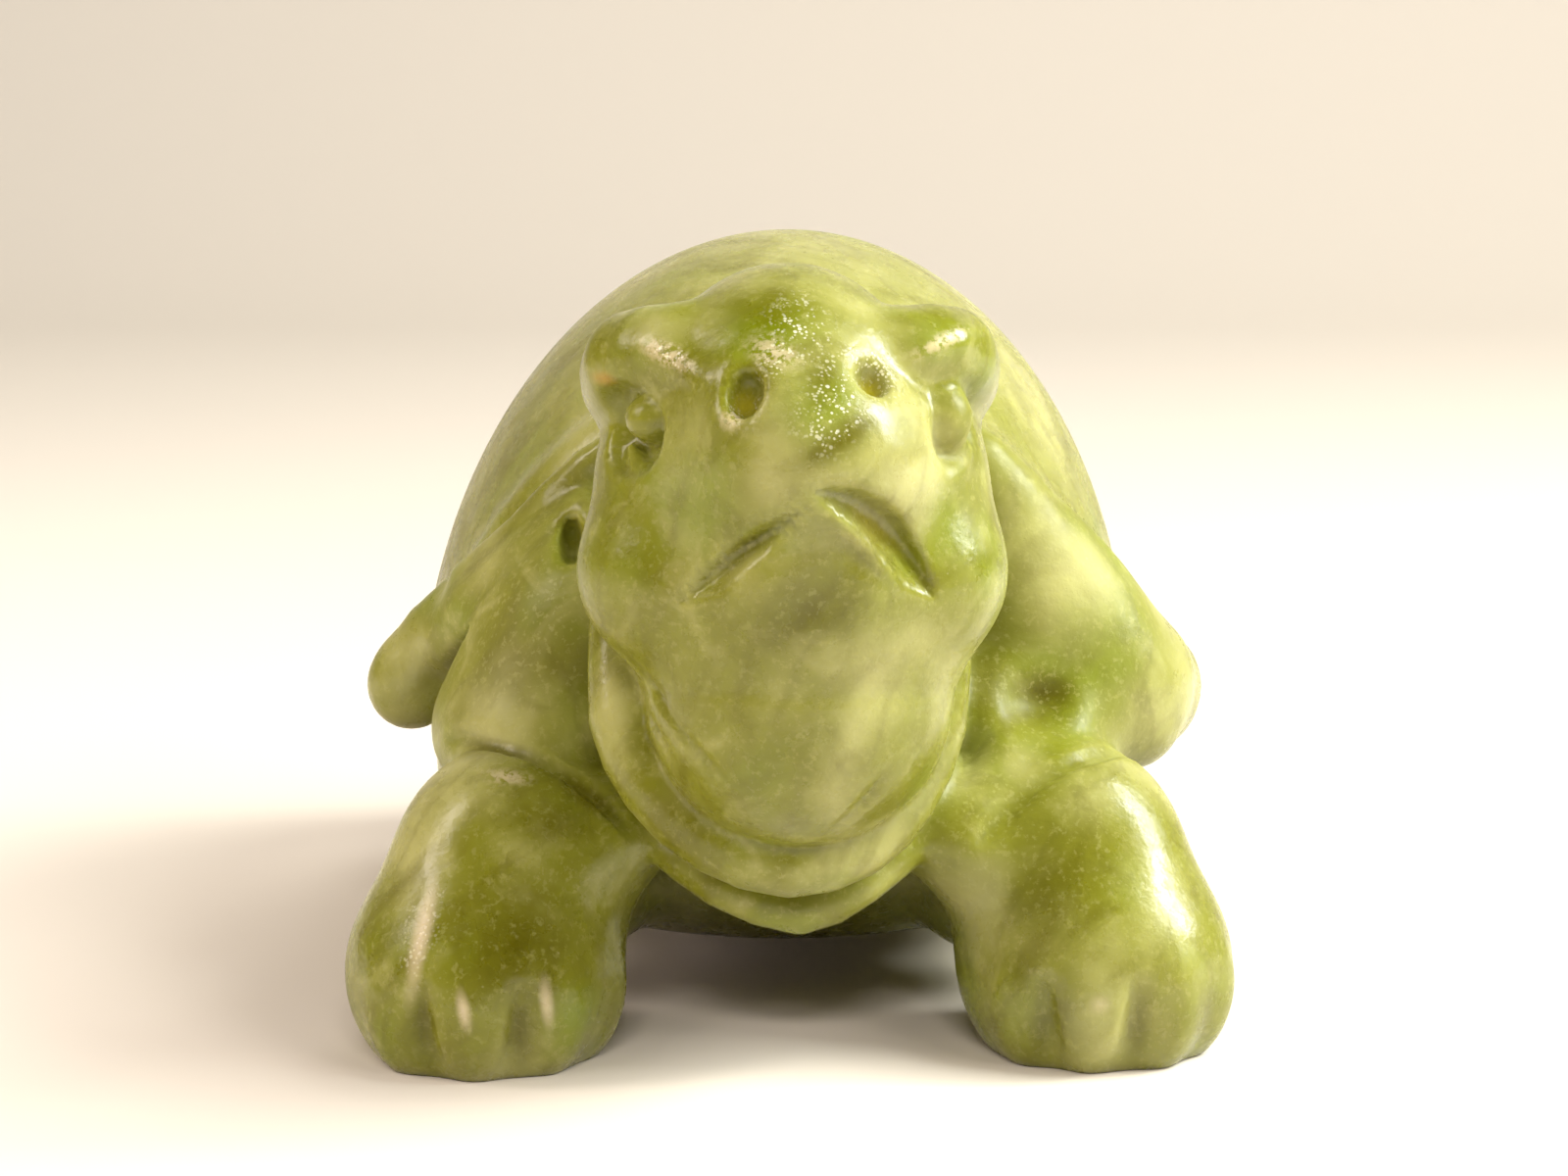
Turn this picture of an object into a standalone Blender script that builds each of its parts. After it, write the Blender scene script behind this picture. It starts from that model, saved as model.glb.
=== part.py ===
"""A turtle carved from one piece of serpentine, standing on four feet with its head raised.

Run it with blender --background --python part.py, or from Blender's text editor.
The turtle faces -Y and +X is on the right of someone who looks it in the face.

The carving is worked out the way a carver thinks of it. Rounded masses are joined with soft
blends, then creases, hollows and grooves are cut into them. A node tree works out how far every
point of the stone block lies from that form, and the surface is the place where it is zero.
"""

import math

import bpy
from mathutils import Vector

# Driving sizes: the length from the beak to the back of the shell in metres, and what share of it
# the smallest facet of the rough surface is before the facets are thinned
OVERALL_LENGTH = 0.119
FACET_SHARE = 0.0066
KEPT_FACETS = 0.0755

# The free form's pose and proportions are shares of its own length: one unit is 1/119 of it
UNITS_LONG = 119.3
UNIT = OVERALL_LENGTH / UNITS_LONG

# The block of stone that the carving comes out of, in units
BLOCK_LOW = (-39.0, -63.0, -6.5)
BLOCK_HIGH = (39.0, 63.0, 68.0)

# How far the form moves so that the middle of its footprint is over the origin, in units
CENTRE_SHIFT = (-0.35, 0.35, 0.0)

# The block that cuts the soles flat, in units: its two sides and how deep it reaches
SOLE_CUTTER = (100.0, 150.0, 8.0)

# How thick the band of fading density on the stone's surface is, in units
SURFACE_BAND = 4.0

STONE_COLOUR = (0.36, 0.38, 0.12, 1.0)
STONE_ROUGHNESS = 0.25

STROKE_STEPS = 2
FRONT_DEPTH_SHARE = 0.25
SETTLING_STEPS = 3
SETTLING_SHARE = 0.65
LEFT = -1
RIGHT = 1
SIDES = (LEFT, RIGHT)


def scaled(values):
    """Units to metres."""
    return tuple(value * UNIT for value in values)


def new_group(name, inputs, output):
    """A node group with named inputs and one float output, with its two end nodes."""
    tree = bpy.data.node_groups.new(name, "GeometryNodeTree")
    for socket_name, kind in inputs:
        tree.interface.new_socket(socket_name, in_out="INPUT", socket_type=kind)
    tree.interface.new_socket(output, in_out="OUTPUT", socket_type="NodeSocketFloat")
    return tree, tree.nodes.new("NodeGroupInput"), tree.nodes.new("NodeGroupOutput")


def plug(tree, source, socket):
    """Link an output socket, or set a plain value, on an input socket."""
    if isinstance(source, bpy.types.NodeSocket):
        tree.links.new(source, socket)
    else:
        socket.default_value = source


def math_node(tree, operation, *values):
    node = tree.nodes.new("ShaderNodeMath")
    node.operation = operation
    for value, socket in zip(values, node.inputs):
        plug(tree, value, socket)
    return node.outputs["Value"]


def vector_node(tree, operation, *values):
    node = tree.nodes.new("ShaderNodeVectorMath")
    node.operation = operation
    for value, socket in zip(values, node.inputs):
        plug(tree, value, socket)
    single = operation in {"LENGTH", "DOT_PRODUCT", "DISTANCE"}
    return node.outputs["Value" if single else "Vector"]


def scale_node(tree, vector, factor):
    node = tree.nodes.new("ShaderNodeVectorMath")
    node.operation = "SCALE"
    plug(tree, vector, node.inputs["Vector"])
    plug(tree, factor, node.inputs["Scale"])
    return node.outputs["Vector"]


def turn_back_node(tree, vector, turn):
    """A point in the frame of a mass that is turned about its own centre."""
    node = tree.nodes.new("ShaderNodeVectorRotate")
    node.rotation_type = "EULER_XYZ"
    node.invert = True
    plug(tree, vector, node.inputs["Vector"])
    plug(tree, turn, node.inputs["Rotation"])
    return node.outputs["Vector"]


def ball_group():
    """How far a point is from an egg shape with three radii, turned about its centre."""
    tree, start, end = new_group(
        "Ball distance",
        (
            ("Point", "NodeSocketVector"),
            ("At", "NodeSocketVector"),
            ("Radii", "NodeSocketVector"),
            ("Turn", "NodeSocketVector"),
        ),
        "Distance",
    )
    offset = vector_node(tree, "SUBTRACT", start.outputs["Point"], start.outputs["At"])
    local = turn_back_node(tree, offset, start.outputs["Turn"])
    once = vector_node(tree, "DIVIDE", local, start.outputs["Radii"])
    twice = vector_node(tree, "DIVIDE", once, start.outputs["Radii"])
    reach = vector_node(tree, "LENGTH", once)
    slope = math_node(tree, "MAXIMUM", vector_node(tree, "LENGTH", twice), 1.0)
    beyond = math_node(tree, "MULTIPLY", reach, math_node(tree, "SUBTRACT", reach, 1.0))
    plug(tree, math_node(tree, "DIVIDE", beyond, slope), end.inputs["Distance"])
    return tree


def limb_group():
    """How far a point is from a round limb that tapers from one end to the other."""
    tree, start, end = new_group(
        "Limb distance",
        (
            ("Point", "NodeSocketVector"),
            ("From", "NodeSocketVector"),
            ("To", "NodeSocketVector"),
            ("From Radius", "NodeSocketFloat"),
            ("To Radius", "NodeSocketFloat"),
        ),
        "Distance",
    )
    axis = vector_node(tree, "SUBTRACT", start.outputs["To"], start.outputs["From"])
    offset = vector_node(tree, "SUBTRACT", start.outputs["Point"], start.outputs["From"])
    along = math_node(
        tree,
        "DIVIDE",
        vector_node(tree, "DOT_PRODUCT", offset, axis),
        vector_node(tree, "DOT_PRODUCT", axis, axis),
    )
    share = math_node(tree, "MAXIMUM", math_node(tree, "MINIMUM", along, 1.0), 0.0)
    nearest = scale_node(tree, axis, share)
    gap = vector_node(tree, "DISTANCE", offset, nearest)
    growth = math_node(tree, "SUBTRACT", start.outputs["To Radius"], start.outputs["From Radius"])
    radius = math_node(
        tree,
        "ADD",
        start.outputs["From Radius"],
        math_node(tree, "MULTIPLY", growth, share),
    )
    plug(tree, math_node(tree, "SUBTRACT", gap, radius), end.inputs["Distance"])
    return tree


class Carver:
    """Makes masses and tool strokes in one node tree, all seen from one point socket."""

    def __init__(self, tree, point, ball, limb, depth_share=1.0):
        self.tree = tree
        self.point = point
        self.ball_tree = ball
        self.limb_tree = limb
        self.depth_share = depth_share

    def from_front(self):
        """The same carver for marks drawn from the front, which reach stone at any near depth."""
        point = vector_node(self.tree, "MULTIPLY", self.point, (1.0, FRONT_DEPTH_SHARE, 1.0))
        return Carver(self.tree, point, self.ball_tree, self.limb_tree, FRONT_DEPTH_SHARE)

    def place(self, values):
        x, y, z = scaled(values)
        return x, y * self.depth_share, z

    def ball(self, at, radii, turn=(0.0, 0.0, 0.0)):
        node = self.tree.nodes.new("GeometryNodeGroup")
        node.node_tree = self.ball_tree
        plug(self.tree, self.point, node.inputs["Point"])
        node.inputs["At"].default_value = scaled(at)
        node.inputs["Radii"].default_value = scaled(radii)
        node.inputs["Turn"].default_value = tuple(math.radians(angle) for angle in turn)
        return node.outputs["Distance"]

    def limb(self, start, end, start_radius, end_radius):
        node = self.tree.nodes.new("GeometryNodeGroup")
        node.node_tree = self.limb_tree
        plug(self.tree, self.point, node.inputs["Point"])
        node.inputs["From"].default_value = self.place(start)
        node.inputs["To"].default_value = self.place(end)
        node.inputs["From Radius"].default_value = start_radius * UNIT
        node.inputs["To Radius"].default_value = end_radius * UNIT
        return node.outputs["Distance"]

    def stroke(self, points, radii):
        """A run of limbs along a smooth curve through the points."""
        curve, sizes = smooth_run(points, radii)
        nearest = None
        for index in range(len(curve) - 1):
            piece = self.limb(curve[index], curve[index + 1], sizes[index], sizes[index + 1])
            nearest = piece if nearest is None else math_node(self.tree, "MINIMUM", nearest, piece)
        return nearest

    def join(self, first, second, blend):
        """Both masses, with a soft fillet of the given size where they meet."""
        return math_node(self.tree, "SMOOTH_MIN", first, second, blend * UNIT)

    def carve(self, stone, tool, blend):
        """The stone less the tool's path, with edges rounded by the given size."""
        inverse = math_node(self.tree, "MULTIPLY", tool, -1.0)
        return math_node(self.tree, "SMOOTH_MAX", stone, inverse, blend * UNIT)

    def engrave(self, stone, stroke, radius, depth):
        """A groove of the given depth along the middle of a stroke, or a ridge if it is negative."""
        node = self.tree.nodes.new("ShaderNodeMapRange")
        node.interpolation_type = "SMOOTHSTEP"
        plug(self.tree, stroke, node.inputs["Value"])
        node.inputs["From Min"].default_value = 0.0
        node.inputs["From Max"].default_value = -radius * UNIT
        node.inputs["To Min"].default_value = 0.0
        node.inputs["To Max"].default_value = depth * UNIT
        return math_node(self.tree, "ADD", stone, node.outputs["Result"])

    def trim(self, stone, normal, level, blend):
        """The stone on the low side of a plane, given by its normal and its distance out."""
        height = vector_node(self.tree, "DOT_PRODUCT", self.point, tuple(Vector(normal).normalized()))
        above = math_node(self.tree, "SUBTRACT", height, level * UNIT)
        return math_node(self.tree, "SMOOTH_MAX", stone, above, blend * UNIT)


def smooth_run(points, radii):
    """Points and radii on a Catmull-Rom curve through the given ones."""
    ends = [points[0], *points, points[-1]]
    sizes = [radii[0], *radii, radii[-1]]
    curve, widths = [], []
    for index in range(1, len(ends) - 2):
        before, here, there, after = (Vector(ends[index + shift]) for shift in (-1, 0, 1, 2))
        for step in range(STROKE_STEPS):
            share = step / STROKE_STEPS
            bend = (2 * before - 5 * here + 4 * there - after) * share**2
            twist = (3 * here - before - 3 * there + after) * share**3
            curve.append((2 * here + (there - before) * share + bend + twist) / 2)
            widths.append(sizes[index] + (sizes[index + 1] - sizes[index]) * share)
    curve.append(Vector(points[-1]))
    widths.append(radii[-1])
    return curve, widths


def mirrored(points, side):
    return [(x * side, y, z) for x, y, z in points]


# How far a join or the edge of a cut is rounded, in units
MEETING = 0.1
CRISP = 0.5
FINE = 0.9
TIGHT = 1.4
SOFT = 2.2
ROUND = 3.0
BROAD = 4.5

# The form's planes, in units: the lowest rim and belly plate, and how far forward the dome reaches
RIM_LEVEL = 23.0
BELLY_LEVEL = 3.2
DOME_FRONT = 29.5
DOWN = (0.0, 0.0, -1.0)
DOME_FRONT_SLOPE = (0.0, -1.0, 0.22)


def shell(carver):
    """The dome with its rolled rim, and the belly plate under it."""
    dome = carver.ball((-0.9, 13.0, 19.0), (31.8, 45.0, 43.8), (0.0, 3.3, 0.0))
    dome = carver.trim(dome, DOWN, -RIM_LEVEL, SOFT)
    dome = carver.trim(dome, DOME_FRONT_SLOPE, DOME_FRONT, BROAD)
    belly = carver.ball((0.0, 10.0, 16.0), (31.0, 31.0, 16.0))
    belly = carver.trim(belly, DOWN, -BELLY_LEVEL, SOFT)
    body = carver.join(dome, belly, ROUND)
    for side in SIDES:
        web = carver.ball((17.5 * side, -10.0, 10.6), (7.5, 12.0, 7.4))
        body = carver.join(body, web, ROUND)
    left_edge = carver.stroke(
        [(-8, -19.5, 50.5), (-16.1, -18, 45.8), (-21.8, -15.5, 40.0), (-26.2, -12.5, 35.4)],
        [1.8, 1.6, 1.5, 1.8],
    )
    left_lobe = carver.stroke(
        [(-25.0, -10.5, 35.0), (-29.3, -9.0, 30.0), (-31.9, -7.5, 25.4)],
        [2.4, 3.3, 3.6],
    )
    right_edge = carver.stroke(
        [(7, -20, 50.5), (15.6, -20, 46.0), (19.2, -18.5, 40.0), (23.8, -15.5, 33.4), (28.6, -13.0, 27.0)],
        [2.4, 3.2, 4.0, 4.9, 5.6],
    )
    right_lobe = carver.stroke([(28.6, -12.0, 27.0), (30.0, -9.5, 25.5)], [5.4, 5.4])
    top_edge = carver.stroke(
        [(-9.5, -19.3, 49.8), (-4.5, -19.8, 52.4), (0.3, -20.0, 53.2), (5.0, -20.0, 52.2),
         (9.0, -19.8, 49.4)],
        [1.8, 1.9, 2.1, 2.3, 2.8],
    )
    for side in SIDES:
        flare = carver.stroke(
            mirrored([(0, -15.2, 53.0), (10, -13.5, 49.5), (17, -11.5, 44.5), (22, -9, 38.5),
                      (26.5, -6, 31.5)], side),
            [2.6, 2.8, 2.8, 2.8, 2.8],
        )
        body = carver.join(body, flare, ROUND)
    body = carver.join(body, carver.join(top_edge, left_edge, FINE), SOFT)
    body = carver.join(body, carver.join(left_lobe, right_lobe, MEETING), TIGHT)
    body = carver.join(body, right_edge, ROUND)
    for side in SIDES:
        flank = carver.stroke(
            mirrored([(31.6, -8, 26.5), (32.0, 8, 25), (30.5, 28, 23.5), (23, 45, 22.5), (9, 55.0, 23),
                      (0, 56.0, 23.5)], side),
            [3.4, 2.6, 2.4, 2.6, 2.8, 2.8],
        )
        body = carver.join(body, flank, SOFT)
    return body


def shoulders(carver, body):
    """The skin that comes out of the shell on both sides of the neck."""
    left = carver.ball((-16.4, -17.5, 31.0), (9.4, 11.5, 14.5), (0.0, 35.0, 0.0))
    left_base = carver.ball((-18.8, -18.0, 24.3), (10.4, 13.0, 7.6), (0.0, -8.0, 0.0))
    right = carver.ball((20.6, -16.5, 33.6), (7.8, 7.8, 16.5), (0.0, -41.0, 0.0))
    right_base = carver.ball((17.5, -17.0, 25.0), (11.0, 12.0, 7.5), (0.0, 8.0, 0.0))
    left_skin = carver.stroke(
        [(-16.0, -19.8, 41.6), (-20.4, -17.6, 37.6), (-24.6, -14.8, 33.6), (-27.4, -12.0, 30.4)],
        [2.4, 3.0, 3.4, 3.0],
    )
    body = carver.join(body, left_skin, ROUND)
    body = carver.join(body, carver.join(left, left_base, BROAD), SOFT)
    body = carver.join(body, right_base, SOFT)
    body = carver.join(body, right, BROAD)
    right_fold = carver.stroke(
        [(21.5, -25.0, 25.0), (18.0, -29.6, 22.8), (15.0, -34.0, 19.4)],
        [1.8, 2.2, 1.6],
    )
    body = carver.join(body, right_fold, BROAD)
    hollow = carver.ball((21.4, -29.0, 28.2), (3.6, 3.8, 2.4))
    body = carver.carve(body, hollow, ROUND)
    pocket = carver.stroke(
        [(-25.6, -18.6, 31.4), (-27.2, -16.8, 28.4), (-29.2, -14.0, 25.2)],
        [0.9, 1.9, 2.4],
    )
    body = carver.carve(body, pocket, TIGHT)
    pit = carver.ball((-17.4, -24.0, 40.6), (1.1, 3.6, 2.1))
    return carver.carve(body, pit, FINE)


# How each front leg stands: how far out and forward of the middle pose, and its toes' directions in degrees
FEET = {
    LEFT: {"out": 0.0, "forward": -1.9, "toes": (-44.0, -2.0, 40.0, 80.0)},
    RIGHT: {"out": 1.0, "forward": 0.6, "toes": (-43.0, -7.0, 35.0, 69.0)},
}
HIND_TOES = (-45.0, -15.0, 15.0, 45.0)
KNEE_CREASES = {
    LEFT: [(-28.6, -24.5, 23.7), (-26.3, -27.5, 24.9), (-22.8, -31.2, 25.1), (-18.8, -33.4, 24.2),
           (-15.6, -34.9, 22.3), (-12.4, -36.7, 18.9)],
    RIGHT: [(30.0, -24.0, 22.8), (28.0, -27.0, 24.0), (24.4, -31.7, 24.4), (20.7, -33.8, 23.1),
            (17.9, -35.4, 20.6), (15.5, -37.0, 18.1)],
}
KNEE_CREASE_RADII = [0.6, 1.0, 1.1, 1.1, 0.9, 0.4]

# A toe's size and tilt, how far its middle lies inside the foot's edge, and the cut beside it
TOE_RADII = (3.0, 3.1, 5.2)
TOE_HEIGHT = 4.6
TOE_TILT = 14.0
TOE_INSET = (2.9, 3.1)
TOE_CUT_LOW = (-1.0, 0.0)
TOE_CUT_HIGH = (0.2, 7.4)
TOE_CUT_RADII = (1.5, 0.7)
FRONT_TOE_CUTS = 2
HIND_TOE_CUTS = 3


def toes(carver, foot, centre, radii, spread, cuts):
    """Rounded toes along the front of a foot, with cuts between the first of them."""
    x, y, _ = centre
    for angle in spread:
        turn = math.radians(angle)
        out = (radii[0] - TOE_INSET[0]) * math.sin(turn)
        ahead = (radii[1] - TOE_INSET[1]) * math.cos(turn)
        toe = carver.ball((x + out, y - ahead, TOE_HEIGHT), TOE_RADII, (TOE_TILT, 0.0, angle))
        foot = carver.join(foot, toe, TIGHT)
    for before, after in zip(spread[:cuts], spread[1:]):
        turn = math.radians((before + after) / 2)
        ends = []
        for beyond, height in (TOE_CUT_LOW, TOE_CUT_HIGH):
            out = (radii[0] + beyond) * math.sin(turn)
            ahead = (radii[1] + beyond) * math.cos(turn)
            ends.append((x + out, y - ahead, height))
        foot = carver.carve(foot, carver.limb(*ends, *TOE_CUT_RADII), TIGHT)
    return foot


def front_legs(carver, body):
    for side in SIDES:
        out, forward = FEET[side]["out"], FEET[side]["forward"]
        knee = carver.ball(
            (22.0 * side + out, -29.0 + forward, 14.5), (9.8, 9.5, 10.4), (-10.0, -12.0 * side, 0.0)
        )
        centre, radii = (24.2 * side + out, -31.0 + forward, 6.8), (11.2, 12.0, 10.6)
        foot = carver.join(knee, carver.ball(centre, radii), BROAD)
        foot = toes(carver, foot, centre, radii, FEET[side]["toes"], FRONT_TOE_CUTS)
        inner = carver.ball((14.5 * side, -29.0, 17.3), (7.0, 8.0, 5.0), (0.0, 35.0 * side, 0.0))
        foot = carver.join(foot, inner, BROAD)
        body = carver.join(body, foot, SOFT)
        body = carver.carve(body, carver.stroke(KNEE_CREASES[side], KNEE_CREASE_RADII), CRISP)
    return body


def hind_legs(carver, body):
    """The hind legs and the tail, in keeping with the front and plainer."""
    for side in SIDES:
        thigh = carver.ball((20.5 * side, 34.0, 17.5), (10.0, 13.0, 10.0))
        centre, radii = (22.5 * side, 36.0, 6.5), (9.8, 11.5, 10.0)
        foot = toes(carver, carver.ball(centre, radii), centre, radii, HIND_TOES, HIND_TOE_CUTS)
        leg = carver.join(thigh, foot, BROAD)
        body = carver.join(body, leg, TIGHT)
    tail = carver.stroke(
        [(0, 47, 20), (0.3, 51.5, 17.3), (1.3, 54.6, 14.4), (3.0, 56.4, 11.4)],
        [6.2, 4.6, 3.1, 1.7],
    )
    return carver.join(body, tail, ROUND)


def throat(carver, body):
    """The neck, and the loose folds of skin that hang round it in two collars."""
    neck = carver.ball((0.4, -30.0, 33.0), (14.6, 18.0, 21.0))
    chest = carver.ball((0.8, -29.0, 21.5), (12.0, 12.0, 9.0))
    body = carver.join(body, neck, SOFT)
    body = carver.join(body, chest, ROUND)
    collar = carver.stroke(
        [(-12.4, -35, 35.5), (-12.2, -38.5, 28.5), (-9.8, -41.5, 23.8), (-5.5, -43.5, 20.0),
         (0.4, -44.5, 18.2), (5.8, -43.5, 19.6), (9.4, -41.5, 23.0), (11.8, -38.5, 28.0),
         (12.4, -35, 35.0)],
        [3.0, 3.2, 3.1, 2.9, 2.8, 2.8, 2.7, 2.6, 2.4],
    )
    fold = carver.stroke(
        [(-10.0, -35, 17.8), (-5.0, -39.0, 15.2), (1.2, -40.0, 13.6), (6.0, -39.0, 15.3), (10.4, -35, 17.8)],
        [1.6, 1.9, 2.2, 1.9, 1.6],
    )
    body = carver.join(body, fold, TIGHT)
    return carver.join(body, collar, TIGHT)


def head_mass(carver):
    """The skull, jaw, muzzle, chin, brows, crown and cheeks, before the features are cut."""
    skull = carver.ball((0.6, -40.5, 47.0), (15.4, 15.0, 14.5))
    jaw = carver.limb((1.2, -42.3, 38.5), (1.2, -43.6, 31.5), 14.7, 12.0)
    crown = carver.ball((0.2, -44.5, 55.9), (9.5, 11.5, 8.8), (10.0, 0.0, 0.0))
    muzzle = carver.ball((1.2, -48.2, 51.0), (10.3, 11.8, 8.8), (0.0, 0.0, 6.0))
    chin = carver.ball((1.6, -49.3, 41.5), (8.6, 8.8, 7.6))
    face = carver.join(skull, jaw, BROAD)
    face = carver.join(face, muzzle, BROAD)
    face = carver.join(face, chin, ROUND)
    left_brow = carver.stroke(
        [(-3.5, -47.0, 57.8), (-8.0, -46.6, 58.1), (-11.3, -43.5, 57.1), (-11.8, -39.0, 55.0)],
        [3.4, 3.9, 4.1, 4.0],
    )
    right_brow = carver.stroke(
        [(5.0, -47.5, 57.4), (9.2, -46.8, 58.2), (12.5, -43.5, 57.7), (12.9, -39.0, 55.4)],
        [3.2, 3.6, 3.8, 3.8],
    )
    face = carver.join(face, carver.join(left_brow, right_brow, MEETING), SOFT)
    face = carver.join(face, crown, ROUND)
    for x in (-8.8, 10.0):
        face = carver.join(face, carver.ball((x, -43.5, 41.0), (7.2, 9.0, 7.4)), ROUND)
    return face


# The face's middle line, and each eye's finish: its socket's edge, its lid's edge, its half height
FACE_MIDDLE = 1.1
EYE_FINISH = {LEFT: (CRISP, FINE, 1.9), RIGHT: (TIGHT, SOFT, 2.6)}


def eyes(carver, face):
    """Scooped sockets on the sides of the head, each with a bulging eye and a lower lid."""
    for side in SIDES:
        edge, lid_edge, half_height = EYE_FINISH[side]
        socket = carver.ball(
            (FACE_MIDDLE + 14.4 * side, -49.4, 52.6), (4.4, 5.0, 4.0), (0.0, 0.0, -28.0 * side)
        )
        face = carver.carve(face, socket, edge)
        eye = carver.ball((FACE_MIDDLE + 10.9 * side, -47.7, 53.4), (2.3, 2.4, half_height))
        face = carver.join(face, eye, edge)
        lid = carver.stroke(
            [(FACE_MIDDLE + 12.7 * side, -46.4, 50.8), (FACE_MIDDLE + 12.2 * side, -47.8, 49.8),
             (FACE_MIDDLE + 11.4 * side, -49.4, 49.3)],
            [0.45, 0.6, 0.5],
        )
        face = carver.join(face, lid, lid_edge)
    return face


# Each nostril's place, radii and lean to the side in degrees, and how far back both are drilled
NOSTRILS = (
    ((-2.8, -56.5, 56.2), (1.4, 1.7, 2.1), 8.0),
    ((6.5, -54.2, 57.1), (1.25, 1.9, 1.5), -3.0),
)
NOSTRIL_TILT = -50.0


def nostrils(carver, face):
    """Two round pits on top of the muzzle, the left one with a soft raised rim."""
    rim = carver.ball((-1.6, -54.3, 54.2), (4.0, 4.0, 4.0))
    face = carver.join(face, rim, SOFT)
    for at, radii, lean in NOSTRILS:
        face = carver.carve(face, carver.ball(at, radii, (NOSTRIL_TILT, 0.0, -lean)), TIGHT)
    return face


def brow_ridges(carver, face):
    """The raised line from each brow down to the nostril on its side."""
    left = carver.stroke(
        [(-10.4, -48.5, 58.9), (-8.5, -49.8, 58.1), (-6.7, -51.2, 57.4), (-5.2, -53.1, 56.9),
         (-3.7, -53.8, 58.1)],
        [0.8, 1.3, 1.4, 1.2, 0.8],
    )
    right = carver.stroke(
        [(8.9, -50.0, 58.0), (10.8, -49.1, 58.7), (12.7, -47.5, 59.2), (14.4, -44.9, 59.4)],
        [0.7, 1.2, 1.2, 0.8],
    )
    face = carver.join(face, left, TIGHT)
    return carver.join(face, right, TIGHT)


# The width and depth of each line drawn on the face, in units; a raised line has a negative depth
LIP_LINE = (1.1, -0.5)
LEFT_MOUTH_LINE = (1.3, 1.1)
RIGHT_MOUTH_LINE = (1.8, 2.4)
WRINKLE_LINE = (0.9, 0.6)


def mouth(carver, face):
    """The beak's mouth, an upturned V with a cut on each side and a sharp lower lip."""
    front = carver.from_front()
    lip = front.stroke(
        [(2.4, -58.5, 48.2), (4.2, -58.5, 46.9), (6.2, -57.0, 44.9), (8.2, -55.5, 42.4)],
        [0.6, 1.1, 1.1, 0.6],
    )
    face = carver.engrave(face, lip, *LIP_LINE)
    left = front.stroke(
        [(-7.8, -54.0, 40.2), (-5.5, -55.0, 42.0), (-3.6, -56.0, 43.8), (-1.8, -57.0, 45.3),
         (1.6, -58.5, 48.2)],
        [0.5, 1.2, 1.3, 1.2, 0.5],
    )
    right = front.stroke(
        [(2.6, -59.0, 49.3), (4.8, -59.0, 48.5), (6.8, -57.5, 47.0), (8.2, -56.0, 45.1),
         (9.6, -54.5, 42.9), (11.2, -53.0, 40.7)],
        [0.7, 1.6, 1.8, 1.8, 1.4, 0.5],
    )
    face = carver.engrave(face, left, *LEFT_MOUTH_LINE)
    face = carver.engrave(face, right, *RIGHT_MOUTH_LINE)
    dimple = carver.ball((1.8, -60.6, 39.9), (5.2, 3.4, 3.0), (0.0, -35.0, 0.0))
    return carver.carve(face, dimple, SOFT)


WRINKLES = (
    ([(-12.0, -47.0, 35.3), (-8.3, -48.6, 30.8), (-6.0, -51.0, 28.1), (-3.7, -52.2, 26.0)],
     [0.3, 0.9, 0.9, 0.3]),
    ([(-12.4, -45.0, 32.6), (-9.0, -47.4, 28.4), (-6.4, -49.0, 25.0)], [0.3, 0.7, 0.3]),
    ([(9.9, -49.0, 29.8), (7.9, -50.1, 27.4), (6.0, -50.9, 24.6), (3.4, -50.1, 21.8)],
     [0.3, 0.8, 0.9, 0.3]),
)


def head(carver, body):
    face = head_mass(carver)
    face = eyes(carver, face)
    face = brow_ridges(carver, face)
    face = nostrils(carver, face)
    face = mouth(carver, face)
    body = carver.join(body, face, TIGHT)
    front = carver.from_front()
    for points, radii in WRINKLES:
        body = carver.engrave(body, front.stroke(points, radii), *WRINKLE_LINE)
    return body


def carving_tree(material):
    """The whole carving as one geometry node tree."""
    tree = bpy.data.node_groups.new("Turtle carving", "GeometryNodeTree")
    tree.interface.new_socket("Geometry", in_out="OUTPUT", socket_type="NodeSocketGeometry")
    end = tree.nodes.new("NodeGroupOutput")
    position = tree.nodes.new("GeometryNodeInputPosition").outputs["Position"]
    point = vector_node(tree, "SUBTRACT", position, scaled(CENTRE_SHIFT))
    carver = Carver(tree, point, ball_group(), limb_group())
    body = shell(carver)
    body = shoulders(carver, body)
    body = hind_legs(carver, body)
    body = throat(carver, body)
    body = front_legs(carver, body)
    body = head(carver, body)

    block = tree.nodes.new("GeometryNodeVolumeCube")
    block.inputs["Min"].default_value = scaled(BLOCK_LOW)
    block.inputs["Max"].default_value = scaled(BLOCK_HIGH)
    for axis, low, high in zip("XYZ", BLOCK_LOW, BLOCK_HIGH):
        block.inputs[f"Resolution {axis}"].default_value = round((high - low) / UNITS_LONG / FACET_SHARE)
    depth = math_node(tree, "DIVIDE", body, -SURFACE_BAND * UNIT)
    plug(tree, math_node(tree, "ADD", depth, 1.0), block.inputs["Density"])
    surface = tree.nodes.new("GeometryNodeVolumeToMesh")
    surface.inputs["Threshold"].default_value = 1.0
    tree.links.new(block.outputs["Volume"], surface.inputs["Volume"])
    geometry = surface.outputs["Mesh"]
    for _ in range(SETTLING_STEPS):
        geometry = settle(tree, geometry, body)
    finish = tree.nodes.new("GeometryNodeSetMaterial")
    finish.inputs["Material"].default_value = material
    tree.links.new(geometry, finish.inputs["Geometry"])
    smooth = tree.nodes.new("GeometryNodeSetShadeSmooth")
    tree.links.new(finish.outputs["Geometry"], smooth.inputs["Geometry"])
    tree.links.new(smooth.outputs["Geometry"], end.inputs["Geometry"])
    return tree


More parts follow.
